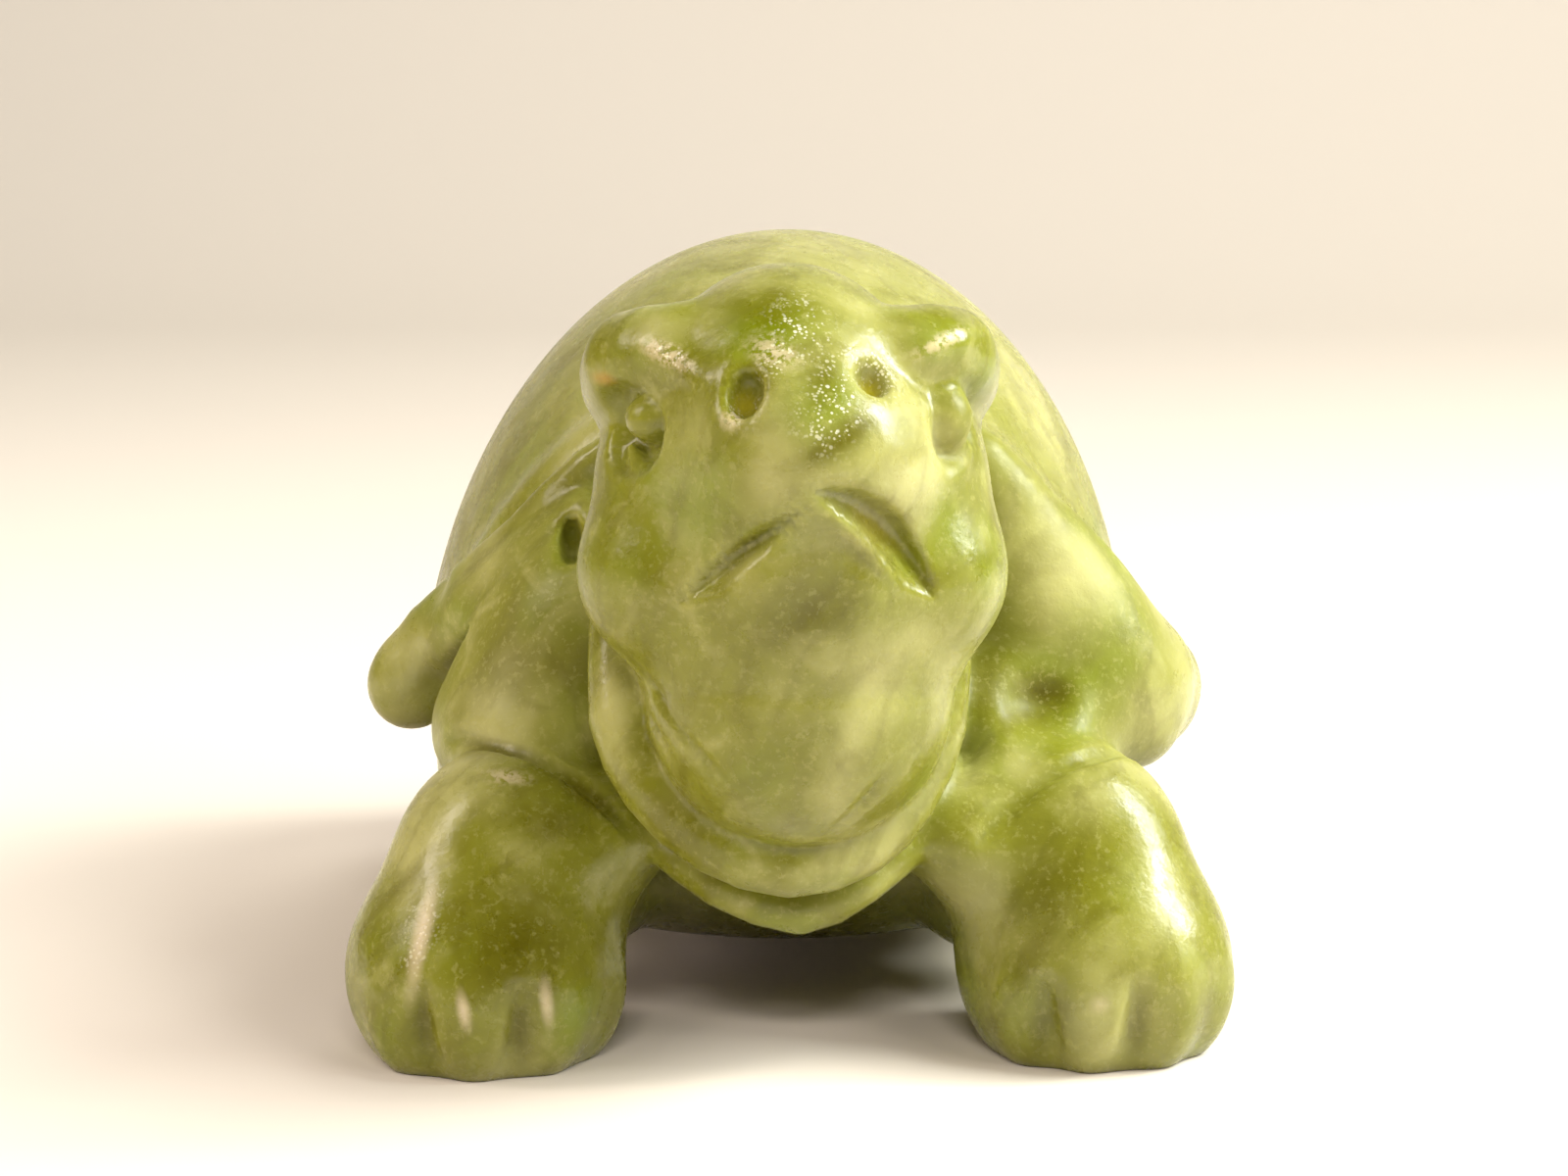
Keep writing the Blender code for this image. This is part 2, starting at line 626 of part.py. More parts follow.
def settle(tree, geometry, distance):
    """Move each point of the surface along its normal until it lies on the form."""
    node = tree.nodes.new("GeometryNodeSetPosition")
    normal = tree.nodes.new("GeometryNodeInputNormal").outputs["Normal"]
    tree.links.new(geometry, node.inputs["Geometry"])
    back = math_node(tree, "MULTIPLY", distance, -SETTLING_SHARE)
    tree.links.new(scale_node(tree, normal, back), node.inputs["Offset"])
    return node.outputs["Geometry"]


def stone_material():
    material = bpy.data.materials.new("Serpentine")
    material.use_nodes = True
    shader = material.node_tree.nodes["Principled BSDF"]
    shader.inputs["Base Color"].default_value = STONE_COLOUR
    shader.inputs["Roughness"].default_value = STONE_ROUGHNESS
    shader.inputs["Metallic"].default_value = 0.0
    return material


def sole_cutter(collection):
    """A block below the floor line, which cuts the four soles flat."""
    width, length, depth = scaled(SOLE_CUTTER)
    bpy.ops.mesh.primitive_cube_add(size=1.0, location=(0.0, 0.0, -depth / 2))
    cutter = bpy.context.active_object
    cutter.name = "sole_cutter"
    cutter.scale = (width, length, depth)
    cutter.display_type = "WIRE"
    cutter.hide_render = True
    for holder in list(cutter.users_collection):
        holder.objects.unlink(cutter)
    collection.objects.link(cutter)
    return cutter


def main():
    for item in list(bpy.data.objects):
        bpy.data.objects.remove(item, do_unlink=True)
    collection = bpy.data.collections.new("serpentine_turtle_carving")
    cutters = bpy.data.collections.new("cutters")
    for group in (collection, cutters):
        bpy.context.scene.collection.children.link(group)
    mesh = bpy.data.meshes.new("turtle_carving")
    turtle = bpy.data.objects.new("turtle_carving", mesh)
    collection.objects.link(turtle)
    material = stone_material()
    mesh.materials.append(material)
    carve = turtle.modifiers.new("Carving", "NODES")
    carve.node_group = carving_tree(material)
    thin = turtle.modifiers.new("Facets", "DECIMATE")
    thin.ratio = KEPT_FACETS
    soles = turtle.modifiers.new("Flat soles", "BOOLEAN")
    soles.operation = "DIFFERENCE"
    soles.solver = "EXACT"
    soles.object = sole_cutter(cutters)


main()
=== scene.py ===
"""Finish and studio for a turtle carved from one piece of serpentine.

The carving is worked out in units of about a millimetre. The turtle faces -Y and +X is on the
right of someone who looks it in the face. Masses are joined with soft blends, and then creases,
hollows and grooves are cut into them. A node tree says how far each point of the stone block lies
from that form, and the surface is the place where it is zero.
"""

import math
from functools import partial

import bpy
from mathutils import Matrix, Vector


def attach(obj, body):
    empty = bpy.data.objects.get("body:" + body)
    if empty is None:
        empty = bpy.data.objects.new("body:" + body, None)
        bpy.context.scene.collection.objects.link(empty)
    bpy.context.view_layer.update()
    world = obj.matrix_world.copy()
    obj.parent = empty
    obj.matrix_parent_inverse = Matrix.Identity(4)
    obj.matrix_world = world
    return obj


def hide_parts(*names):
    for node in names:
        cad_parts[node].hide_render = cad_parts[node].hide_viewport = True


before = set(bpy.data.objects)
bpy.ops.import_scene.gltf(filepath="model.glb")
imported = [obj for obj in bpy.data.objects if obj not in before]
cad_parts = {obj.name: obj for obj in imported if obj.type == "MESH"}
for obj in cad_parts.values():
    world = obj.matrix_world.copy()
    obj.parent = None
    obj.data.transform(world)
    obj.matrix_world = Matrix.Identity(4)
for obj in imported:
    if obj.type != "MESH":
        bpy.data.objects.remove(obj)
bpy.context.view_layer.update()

NODE = "turtle_carving"
BODY = "root"

# Driving sizes in metres
OVERALL_LENGTH = 0.119
VOXEL = 0.00064

# One unit is 1/119.3 of the length, and the form's middle moves over the origin
UNITS_LONG = 119.3
UNIT = OVERALL_LENGTH / UNITS_LONG
CENTRE_SHIFT = (-0.35, 0.35, 0.0)

# The block of stone that the carving comes out of, in units
BLOCK_LOW = (-39.0, -63.0, -2.5)
BLOCK_HIGH = (39.0, 63.0, 68.0)
SURFACE_BAND = 4.0

STROKE_STEPS = 2
FRONT_DEPTH_SHARE = 0.25
SETTLING_STEPS = 3
SETTLING_SHARE = 0.65
SOLE_EDGE = 0.3

# The table's lowest corner in metres, far outside the carving
TABLE_CORNER = (-1.0, -1.0, 0.0)

LEFT = -1
RIGHT = 1
SIDES = (LEFT, RIGHT)


def plug(tree, source, socket):
    """Link an output socket, or set a plain value, on an input socket."""
    if isinstance(source, bpy.types.NodeSocket):
        tree.links.new(source, socket)
    else:
        socket.default_value = source


def math_node(tree, operation, *values):
    node = tree.nodes.new("ShaderNodeMath")
    node.operation = operation
    for value, socket in zip(values, node.inputs):
        plug(tree, value, socket)
    return node.outputs["Value"]


def vector_node(tree, operation, *values):
    node = tree.nodes.new("ShaderNodeVectorMath")
    node.operation = operation
    for value, socket in zip(values, node.inputs):
        plug(tree, value, socket)
    single = operation in {"LENGTH", "DOT_PRODUCT", "DISTANCE"}
    return node.outputs["Value" if single else "Vector"]


def scale_node(tree, vector, factor):
    node = tree.nodes.new("ShaderNodeVectorMath")
    node.operation = "SCALE"
    plug(tree, vector, node.inputs["Vector"])
    plug(tree, factor, node.inputs["Scale"])
    return node.outputs["Vector"]


def turn_back_node(tree, vector, turn, kind="EULER_XYZ"):
    """A point in the frame of what is turned about its own centre, by three angles or about one axis."""
    node = tree.nodes.new("ShaderNodeVectorRotate")
    node.rotation_type = kind
    node.invert = True
    plug(tree, vector, node.inputs["Vector"])
    plug(tree, turn, node.inputs["Rotation" if kind == "EULER_XYZ" else "Angle"])
    return node.outputs["Vector"]


def new_group(name, kind, inputs, outputs):
    """A node group with named inputs and outputs, and its two end nodes."""
    tree = bpy.data.node_groups.new(name, kind)
    for socket_name, socket_type, value in inputs:
        socket = tree.interface.new_socket(socket_name, in_out="INPUT", socket_type=socket_type)
        if value is not None:
            socket.default_value = value
    for socket_name, socket_type in outputs:
        tree.interface.new_socket(socket_name, in_out="OUTPUT", socket_type=socket_type)
    return tree, tree.nodes.new("NodeGroupInput"), tree.nodes.new("NodeGroupOutput")


def ball_group():
    """How far a point is from an egg shape with three radii, turned about its centre."""
    tree, start, end = new_group(
        "Ball distance",
        "GeometryNodeTree",
        (
            ("Point", "NodeSocketVector", None),
            ("At", "NodeSocketVector", None),
            ("Radii", "NodeSocketVector", None),
            ("Turn", "NodeSocketVector", None),
        ),
        (("Distance", "NodeSocketFloat"),),
    )
    offset = vector_node(tree, "SUBTRACT", start.outputs["Point"], start.outputs["At"])
    local = turn_back_node(tree, offset, start.outputs["Turn"])
    once = vector_node(tree, "DIVIDE", local, start.outputs["Radii"])
    twice = vector_node(tree, "DIVIDE", once, start.outputs["Radii"])
    reach = vector_node(tree, "LENGTH", once)
    slope = math_node(tree, "MAXIMUM", vector_node(tree, "LENGTH", twice), 0.001)
    beyond = math_node(tree, "MULTIPLY", reach, math_node(tree, "SUBTRACT", reach, 1.0))
    plug(tree, math_node(tree, "DIVIDE", beyond, slope), end.inputs["Distance"])
    return tree


def limb_group():
    """How far a point is from a round limb that tapers from one end to the other."""
    tree, start, end = new_group(
        "Limb distance",
        "GeometryNodeTree",
        (
            ("Point", "NodeSocketVector", None),
            ("From", "NodeSocketVector", None),
            ("To", "NodeSocketVector", None),
            ("From Radius", "NodeSocketFloat", None),
            ("To Radius", "NodeSocketFloat", None),
        ),
        (("Distance", "NodeSocketFloat"),),
    )
    axis = vector_node(tree, "SUBTRACT", start.outputs["To"], start.outputs["From"])
    offset = vector_node(tree, "SUBTRACT", start.outputs["Point"], start.outputs["From"])
    ahead = vector_node(tree, "DOT_PRODUCT", offset, axis)
    along = math_node(tree, "DIVIDE", ahead, vector_node(tree, "DOT_PRODUCT", axis, axis))
    share = math_node(tree, "MAXIMUM", math_node(tree, "MINIMUM", along, 1.0), 0.0)
    gap = vector_node(tree, "DISTANCE", offset, scale_node(tree, axis, share))
    growth = math_node(tree, "SUBTRACT", start.outputs["To Radius"], start.outputs["From Radius"])
    grown = math_node(tree, "MULTIPLY", growth, share)
    radius = math_node(tree, "ADD", start.outputs["From Radius"], grown)
    plug(tree, math_node(tree, "SUBTRACT", gap, radius), end.inputs["Distance"])
    return tree


def smooth_run(points, radii):
    """Points and radii on a Catmull-Rom curve through the given ones."""
    ends = [points[0], *points, points[-1]]
    sizes = [radii[0], *radii, radii[-1]]
    curve, widths = [], []
    for index in range(1, len(ends) - 2):
        before, here, there, after = (Vector(ends[index + shift]) for shift in (-1, 0, 1, 2))
        for step in range(STROKE_STEPS):
            share = step / STROKE_STEPS
            bend = (2 * before - 5 * here + 4 * there - after) * share**2
            twist = (3 * here - before - 3 * there + after) * share**3
            curve.append((2 * here + (there - before) * share + bend + twist) / 2)
            widths.append(sizes[index] + (sizes[index + 1] - sizes[index]) * share)
    curve.append(Vector(points[-1]))
    widths.append(radii[-1])
    return curve, widths


class Carver:
    """Makes masses and tool strokes in one node tree, all seen from one point socket."""

    def __init__(self, tree, point, ball, limb, cut_depth, depth_share=1.0):
        self.tree = tree
        self.point = point
        self.ball_tree = ball
        self.limb_tree = limb
        self.cut_depth = cut_depth
        self.depth_share = depth_share

    def from_front(self):
        """The same carver for marks drawn from the front, which reach stone at any near depth."""
        point = vector_node(self.tree, "MULTIPLY", self.point, (1.0, FRONT_DEPTH_SHARE, 1.0))
        return Carver(self.tree, point, self.ball_tree, self.limb_tree, self.cut_depth, FRONT_DEPTH_SHARE)

    def place(self, values):
        x, y, z = values
        return x, y * self.depth_share, z

    def ball(self, at, radii, turn=(0.0, 0.0, 0.0)):
        node = self.tree.nodes.new("GeometryNodeGroup")
        node.node_tree = self.ball_tree
        plug(self.tree, self.point, node.inputs["Point"])
        node.inputs["At"].default_value = at
        node.inputs["Radii"].default_value = radii
        node.inputs["Turn"].default_value = tuple(math.radians(angle) for angle in turn)
        return node.outputs["Distance"]

    def limb(self, start, end, start_radius, end_radius):
        node = self.tree.nodes.new("GeometryNodeGroup")
        node.node_tree = self.limb_tree
        plug(self.tree, self.point, node.inputs["Point"])
        node.inputs["From"].default_value = self.place(start)
        node.inputs["To"].default_value = self.place(end)
        node.inputs["From Radius"].default_value = start_radius
        node.inputs["To Radius"].default_value = end_radius
        return node.outputs["Distance"]

    def stroke(self, points, radii):
        """A run of limbs along a smooth curve through the points."""
        curve, sizes = smooth_run(points, radii)
        nearest = None
        for index in range(len(curve) - 1):
            piece = self.limb(curve[index], curve[index + 1], sizes[index], sizes[index + 1])
            nearest = piece if nearest is None else math_node(self.tree, "MINIMUM", nearest, piece)
        return nearest

    def join(self, first, second, blend):
        """Both masses, with a soft fillet of the given size where they meet."""
        return math_node(self.tree, "SMOOTH_MIN", first, second, blend)

    def carve(self, stone, tool, blend):
        """The stone less the tool's path, with edges rounded by the given size."""
        inverse = math_node(self.tree, "MULTIPLY", tool, -1.0)
        return math_node(self.tree, "SMOOTH_MAX", stone, inverse, blend)

    def engrave(self, stone, stroke, radius, depth):
        """A groove of the given depth along the middle of a stroke, or a ridge if it is negative."""
        node = self.tree.nodes.new("ShaderNodeMapRange")
        node.interpolation_type = "SMOOTHSTEP"
        plug(self.tree, stroke, node.inputs["Value"])
        node.inputs["From Min"].default_value = 0.0
        node.inputs["From Max"].default_value = -radius
        node.inputs["To Min"].default_value = 0.0
        plug(self.tree, math_node(self.tree, "MULTIPLY", self.cut_depth, depth), node.inputs["To Max"])
        return math_node(self.tree, "ADD", stone, node.outputs["Result"])

    def trim(self, stone, normal, level, blend):
        """The stone on the low side of a plane, given by its normal and its distance out."""
        height = vector_node(self.tree, "DOT_PRODUCT", self.point, tuple(Vector(normal).normalized()))
        above = math_node(self.tree, "SUBTRACT", height, level)
        return math_node(self.tree, "SMOOTH_MAX", stone, above, blend)


def mirrored(points, side):
    return [(x * side, y, z) for x, y, z in points]


# How far a join or the edge of a cut is rounded, in units
MEETING = 0.1
CRISP = 0.5
FINE = 0.9
TIGHT = 1.4
SOFT = 2.2
ROUND = 3.0
BROAD = 4.5

# The form's planes, in units: the lowest rim and belly plate, and how far forward the dome reaches
RIM_LEVEL = 23.0
BELLY_LEVEL = 3.2
DOME_FRONT = 29.5
DOWN = (0.0, 0.0, -1.0)
DOME_FRONT_SLOPE = (0.0, -1.0, 0.22)


def shell(carver):
    """The dome with its rolled rim, and the belly plate under it."""
    dome = carver.ball((-0.9, 13.0, 19.0), (31.8, 45.0, 43.8), (0.0, 3.3, 0.0))
    dome = carver.trim(dome, DOWN, -RIM_LEVEL, SOFT)
    dome = carver.trim(dome, DOME_FRONT_SLOPE, DOME_FRONT, BROAD)
    belly = carver.ball((0.0, 10.0, 16.0), (31.0, 31.0, 16.0))
    belly = carver.trim(belly, DOWN, -BELLY_LEVEL, SOFT)
    body = carver.join(dome, belly, ROUND)
    for side in SIDES:
        web = carver.ball((17.5 * side, -10.0, 10.6), (7.5, 12.0, 7.4))
        body = carver.join(body, web, ROUND)
    left_edge = carver.stroke(
        [(-8, -19.5, 50.5), (-16.1, -18, 45.8), (-21.8, -15.5, 40.0), (-26.2, -12.5, 35.4)],
        [1.8, 1.6, 1.5, 1.8],
    )
    left_lobe = carver.stroke(
        [(-25.0, -10.5, 35.0), (-29.3, -9.0, 30.0), (-31.9, -7.5, 25.4)],
        [2.4, 3.3, 3.6],
    )
    right_edge = carver.stroke(
        [(7, -20, 50.5), (15.6, -20, 46.0), (19.2, -18.5, 40.0), (23.8, -15.5, 33.4), (28.6, -13.0, 27.0)],
        [2.4, 3.2, 4.0, 4.9, 5.6],
    )
    right_lobe = carver.stroke([(28.6, -12.0, 27.0), (30.0, -9.5, 25.5)], [5.4, 5.4])
    top_edge = carver.stroke(
        [(-9.5, -19.3, 49.8), (-4.5, -19.8, 52.4), (0.3, -20.0, 53.2), (5.0, -20.0, 52.2),
         (9.0, -19.8, 49.4)],
        [1.8, 1.9, 2.1, 2.3, 2.8],
    )
    for side in SIDES:
        flare = carver.stroke(
            mirrored([(0, -15.2, 53.0), (10, -13.5, 49.5), (17, -11.5, 44.5), (22, -9, 38.5),
                      (26.5, -6, 31.5)], side),
            [2.6, 2.8, 2.8, 2.8, 2.8],
        )
        body = carver.join(body, flare, ROUND)
    body = carver.join(body, carver.join(top_edge, left_edge, FINE), SOFT)
    body = carver.join(body, carver.join(left_lobe, right_lobe, MEETING), TIGHT)
    body = carver.join(body, right_edge, ROUND)
    for side in SIDES:
        flank = carver.stroke(
            mirrored([(31.6, -8, 26.5), (32.0, 8, 25), (30.5, 28, 23.5), (23, 45, 22.5), (9, 55.0, 23),
                      (0, 56.0, 23.5)], side),
            [3.4, 2.6, 2.4, 2.6, 2.8, 2.8],
        )
        body = carver.join(body, flank, SOFT)
    return body


def shoulders(carver, body):
    """The skin that comes out of the shell on both sides of the neck."""
    left = carver.ball((-16.4, -17.5, 31.0), (9.4, 11.5, 14.5), (0.0, 35.0, 0.0))
    left_base = carver.ball((-18.8, -18.0, 24.3), (10.4, 13.0, 7.6), (0.0, -8.0, 0.0))
    right = carver.ball((20.6, -16.5, 33.6), (7.8, 7.8, 16.5), (0.0, -41.0, 0.0))
    right_base = carver.ball((17.5, -17.0, 25.0), (11.0, 12.0, 7.5), (0.0, 8.0, 0.0))
    left_skin = carver.stroke(
        [(-16.0, -19.8, 41.6), (-20.4, -17.6, 37.6), (-24.6, -14.8, 33.6), (-27.4, -12.0, 30.4)],
        [2.4, 3.0, 3.4, 3.0],
    )
    body = carver.join(body, left_skin, ROUND)
    body = carver.join(body, carver.join(left, left_base, BROAD), SOFT)
    body = carver.join(body, right_base, SOFT)
    body = carver.join(body, right, BROAD)
    right_fold = carver.stroke(
        [(21.5, -25.0, 25.0), (18.0, -29.6, 22.8), (15.0, -34.0, 19.4)],
        [1.8, 2.2, 1.6],
    )
    body = carver.join(body, right_fold, BROAD)
    hollow = carver.ball((21.4, -29.0, 28.2), (3.6, 3.8, 2.4))
    body = carver.carve(body, hollow, ROUND)
    pocket = carver.stroke(
        [(-25.6, -18.6, 31.4), (-27.2, -16.8, 28.4), (-29.2, -14.0, 25.2)],
        [0.9, 1.9, 2.4],
    )
    body = carver.carve(body, pocket, TIGHT)
    pit = carver.ball((-17.4, -24.0, 40.6), (1.1, 3.6, 2.1))
    return carver.carve(body, pit, FINE)


# How each front leg stands: how far out and forward of the middle pose, and its toes' directions in degrees
FEET = {
    LEFT: {"out": 0.0, "forward": -1.9, "toes": (-44.0, -2.0, 40.0, 80.0)},
    RIGHT: {"out": 1.0, "forward": 0.6, "toes": (-43.0, -7.0, 35.0, 69.0)},
}
HIND_TOES = (-45.0, -15.0, 15.0, 45.0)
KNEE_CREASES = {
    LEFT: [(-28.6, -24.5, 23.7), (-26.3, -27.5, 24.9), (-22.8, -31.2, 25.1), (-18.8, -33.4, 24.2),
           (-15.6, -34.9, 22.3), (-12.4, -36.7, 18.9)],
    RIGHT: [(30.0, -24.0, 22.8), (28.0, -27.0, 24.0), (24.4, -31.7, 24.4), (20.7, -33.8, 23.1),
            (17.9, -35.4, 20.6), (15.5, -37.0, 18.1)],
}
KNEE_CREASE_RADII = [0.6, 1.0, 1.1, 1.1, 0.9, 0.4]

# A toe's size and tilt, how far its middle lies inside the foot's edge, and the cut beside it
TOE_RADII = (3.0, 3.1, 5.2)
TOE_HEIGHT = 4.6
TOE_TILT = 14.0
TOE_INSET = (2.9, 3.1)
TOE_CUT_LOW = (-1.0, 0.0)
TOE_CUT_HIGH = (0.2, 7.4)
TOE_CUT_RADII = (1.5, 0.7)
FRONT_TOE_CUTS = 2
HIND_TOE_CUTS = 3


def toes(carver, foot, centre, radii, spread, cuts):
    """Rounded toes along the front of a foot, with cuts between the first of them."""
    x, y, _ = centre
    for angle in spread:
        turn = math.radians(angle)
        out = (radii[0] - TOE_INSET[0]) * math.sin(turn)
        ahead = (radii[1] - TOE_INSET[1]) * math.cos(turn)
        toe = carver.ball((x + out, y - ahead, TOE_HEIGHT), TOE_RADII, (TOE_TILT, 0.0, angle))
        foot = carver.join(foot, toe, TIGHT)
    for before, after in zip(spread[:cuts], spread[1:]):
        turn = math.radians((before + after) / 2)
        ends = []
        for beyond, height in (TOE_CUT_LOW, TOE_CUT_HIGH):
            out = (radii[0] + beyond) * math.sin(turn)
            ahead = (radii[1] + beyond) * math.cos(turn)
            ends.append((x + out, y - ahead, height))
        foot = carver.carve(foot, carver.limb(*ends, *TOE_CUT_RADII), TIGHT)
    return foot


def front_legs(carver, body):
    for side in SIDES:
        out, forward = FEET[side]["out"], FEET[side]["forward"]
        knee = carver.ball(
            (22.0 * side + out, -29.0 + forward, 14.5), (9.8, 9.5, 10.4), (-10.0, -12.0 * side, 0.0)
        )
        centre, radii = (24.2 * side + out, -31.0 + forward, 6.8), (11.2, 12.0, 10.6)
        foot = carver.join(knee, carver.ball(centre, radii), BROAD)
        foot = toes(carver, foot, centre, radii, FEET[side]["toes"], FRONT_TOE_CUTS)
        inner = carver.ball((14.5 * side, -29.0, 17.3), (7.0, 8.0, 5.0), (0.0, 35.0 * side, 0.0))
        foot = carver.join(foot, inner, BROAD)
        body = carver.join(body, foot, SOFT)
        body = carver.carve(body, carver.stroke(KNEE_CREASES[side], KNEE_CREASE_RADII), CRISP)
    return body


def hind_legs(carver, body):
    """The hind legs and the tail, in keeping with the front and plainer."""
    for side in SIDES:
        thigh = carver.ball((20.5 * side, 34.0, 17.5), (10.0, 13.0, 10.0))
        centre, radii = (22.5 * side, 36.0, 6.5), (9.8, 11.5, 10.0)
        foot = toes(carver, carver.ball(centre, radii), centre, radii, HIND_TOES, HIND_TOE_CUTS)
        leg = carver.join(thigh, foot, BROAD)
        body = carver.join(body, leg, TIGHT)
    tail = carver.stroke(
        [(0, 47, 20), (0.3, 51.5, 17.3), (1.3, 54.6, 14.4), (3.0, 56.4, 11.4)],
        [6.2, 4.6, 3.1, 1.7],
    )
    return carver.join(body, tail, ROUND)


def throat(carver, body):
    """The neck, and the loose folds of skin that hang round it in two collars."""
    neck = carver.ball((0.4, -30.0, 33.0), (14.6, 18.0, 21.0))
    chest = carver.ball((0.8, -29.0, 21.5), (12.0, 12.0, 9.0))
    body = carver.join(body, neck, SOFT)
    body = carver.join(body, chest, ROUND)
    collar = carver.stroke(
        [(-12.4, -35, 35.5), (-12.2, -38.5, 28.5), (-9.8, -41.5, 23.8), (-5.5, -43.5, 20.0),
         (0.4, -44.5, 18.2), (5.8, -43.5, 19.6), (9.4, -41.5, 23.0), (11.8, -38.5, 28.0),
         (12.4, -35, 35.0)],
        [3.0, 3.2, 3.1, 2.9, 2.8, 2.8, 2.7, 2.6, 2.4],
    )
    fold = carver.stroke(
        [(-10.0, -35, 17.8), (-5.0, -39.0, 15.2), (1.2, -40.0, 13.6), (6.0, -39.0, 15.3),
         (10.4, -35, 17.8)],
        [1.6, 1.9, 2.2, 1.9, 1.6],
    )
    body = carver.join(body, fold, TIGHT)
    return carver.join(body, collar, TIGHT)


def head_mass(carver):
    """The skull, jaw, muzzle, chin, brows, crown and cheeks, before the features are cut."""
    skull = carver.ball((0.6, -40.5, 47.0), (15.4, 15.0, 14.5))
    jaw = carver.limb((1.2, -42.3, 38.5), (1.2, -43.6, 31.5), 14.7, 12.0)
    crown = carver.ball((0.2, -44.5, 55.9), (9.5, 11.5, 8.8), (10.0, 0.0, 0.0))
    muzzle = carver.ball((1.2, -48.2, 51.0), (10.3, 11.8, 8.8), (0.0, 0.0, 6.0))
    chin = carver.ball((1.6, -49.3, 41.5), (8.6, 8.8, 7.6))
    face = carver.join(skull, jaw, BROAD)
    face = carver.join(face, muzzle, BROAD)
    face = carver.join(face, chin, ROUND)
    left_brow = carver.stroke(
        [(-3.5, -47.0, 57.8), (-8.0, -46.6, 58.1), (-11.3, -43.5, 57.1), (-11.8, -39.0, 55.0)],
        [3.4, 3.9, 4.1, 4.0],
    )
    right_brow = carver.stroke(
        [(5.0, -47.5, 57.4), (9.2, -46.8, 58.2), (12.5, -43.5, 57.7), (12.9, -39.0, 55.4)],
        [3.2, 3.6, 3.8, 3.8],
    )
    face = carver.join(face, carver.join(left_brow, right_brow, MEETING), SOFT)
    face = carver.join(face, crown, ROUND)
    for x in (-8.8, 10.0):
        face = carver.join(face, carver.ball((x, -43.5, 41.0), (7.2, 9.0, 7.4)), ROUND)
    return face


# The face's middle line, and each eye's finish: its socket's edge, its lid's edge, its half height
FACE_MIDDLE = 1.1
EYE_FINISH = {LEFT: (CRISP, FINE, 1.9), RIGHT: (TIGHT, SOFT, 2.6)}


def eyes(carver, face):
    """Scooped sockets on the sides of the head, each with a bulging eye and a lower lid."""
    for side in SIDES:
        edge, lid_edge, half_height = EYE_FINISH[side]
        socket = carver.ball(
            (FACE_MIDDLE + 14.4 * side, -49.4, 52.6), (4.4, 5.0, 4.0), (0.0, 0.0, -28.0 * side)
        )
        face = carver.carve(face, socket, edge)
        eye = carver.ball((FACE_MIDDLE + 10.9 * side, -47.7, 53.4), (2.3, 2.4, half_height))
        face = carver.join(face, eye, edge)
        lid = carver.stroke(
            [(FACE_MIDDLE + 12.7 * side, -46.4, 50.8), (FACE_MIDDLE + 12.2 * side, -47.8, 49.8),
             (FACE_MIDDLE + 11.4 * side, -49.4, 49.3)],
            [0.45, 0.6, 0.5],
        )
        face = carver.join(face, lid, lid_edge)
    return face


# Each nostril's place, radii and lean to the side in degrees, and how far back both are drilled
NOSTRILS = (
    ((-2.8, -56.5, 56.2), (1.4, 1.7, 2.1), 8.0),
    ((6.5, -54.2, 57.1), (1.25, 1.9, 1.5), -3.0),
)
NOSTRIL_TILT = -50.0


def nostrils(carver, face):
    """Two round pits on top of the muzzle, the left one with a soft raised rim."""
    rim = carver.ball((-1.6, -54.3, 54.2), (4.0, 4.0, 4.0))
    face = carver.join(face, rim, SOFT)
    for at, radii, lean in NOSTRILS:
        face = carver.carve(face, carver.ball(at, radii, (NOSTRIL_TILT, 0.0, -lean)), TIGHT)
    return face


def brow_ridges(carver, face):
    """The raised line from each brow down to the nostril on its side."""
    left = carver.stroke(
        [(-10.4, -48.5, 58.9), (-8.5, -49.8, 58.1), (-6.7, -51.2, 57.4), (-5.2, -53.1, 56.9),
         (-3.7, -53.8, 58.1)],
        [0.8, 1.3, 1.4, 1.2, 0.8],
    )
    right = carver.stroke(
        [(8.9, -50.0, 58.0), (10.8, -49.1, 58.7), (12.7, -47.5, 59.2), (14.4, -44.9, 59.4)],
        [0.7, 1.2, 1.2, 0.8],
    )
    face = carver.join(face, left, TIGHT)
    return carver.join(face, right, TIGHT)


# The width and depth of each line drawn on the face, in units; a raised line has a negative depth
LIP_LINE = (1.1, -0.5)
LEFT_MOUTH_LINE = (1.3, 1.1)
RIGHT_MOUTH_LINE = (1.8, 2.4)
WRINKLE_LINE = (0.9, 0.6)


def mouth(carver, face):
    """The beak's mouth, an upturned V with a cut on each side and a sharp lower lip."""
    front = carver.from_front()
    lip = front.stroke(
        [(2.4, -58.5, 48.2), (4.2, -58.5, 46.9), (6.2, -57.0, 44.9), (8.2, -55.5, 42.4)],
        [0.6, 1.1, 1.1, 0.6],
    )
    face = carver.engrave(face, lip, *LIP_LINE)
    left = front.stroke(
        [(-7.8, -54.0, 40.2), (-5.5, -55.0, 42.0), (-3.6, -56.0, 43.8), (-1.8, -57.0, 45.3),
         (1.6, -58.5, 48.2)],
        [0.5, 1.2, 1.3, 1.2, 0.5],
    )
    right = front.stroke(
        [(2.6, -59.0, 49.3), (4.8, -59.0, 48.5), (6.8, -57.5, 47.0), (8.2, -56.0, 45.1),
         (9.6, -54.5, 42.9), (11.2, -53.0, 40.7)],
        [0.7, 1.6, 1.8, 1.8, 1.4, 0.5],
    )
    face = carver.engrave(face, left, *LEFT_MOUTH_LINE)
    face = carver.engrave(face, right, *RIGHT_MOUTH_LINE)
    dimple = carver.ball((1.8, -60.6, 39.9), (5.2, 3.4, 3.0), (0.0, -35.0, 0.0))
    return carver.carve(face, dimple, SOFT)


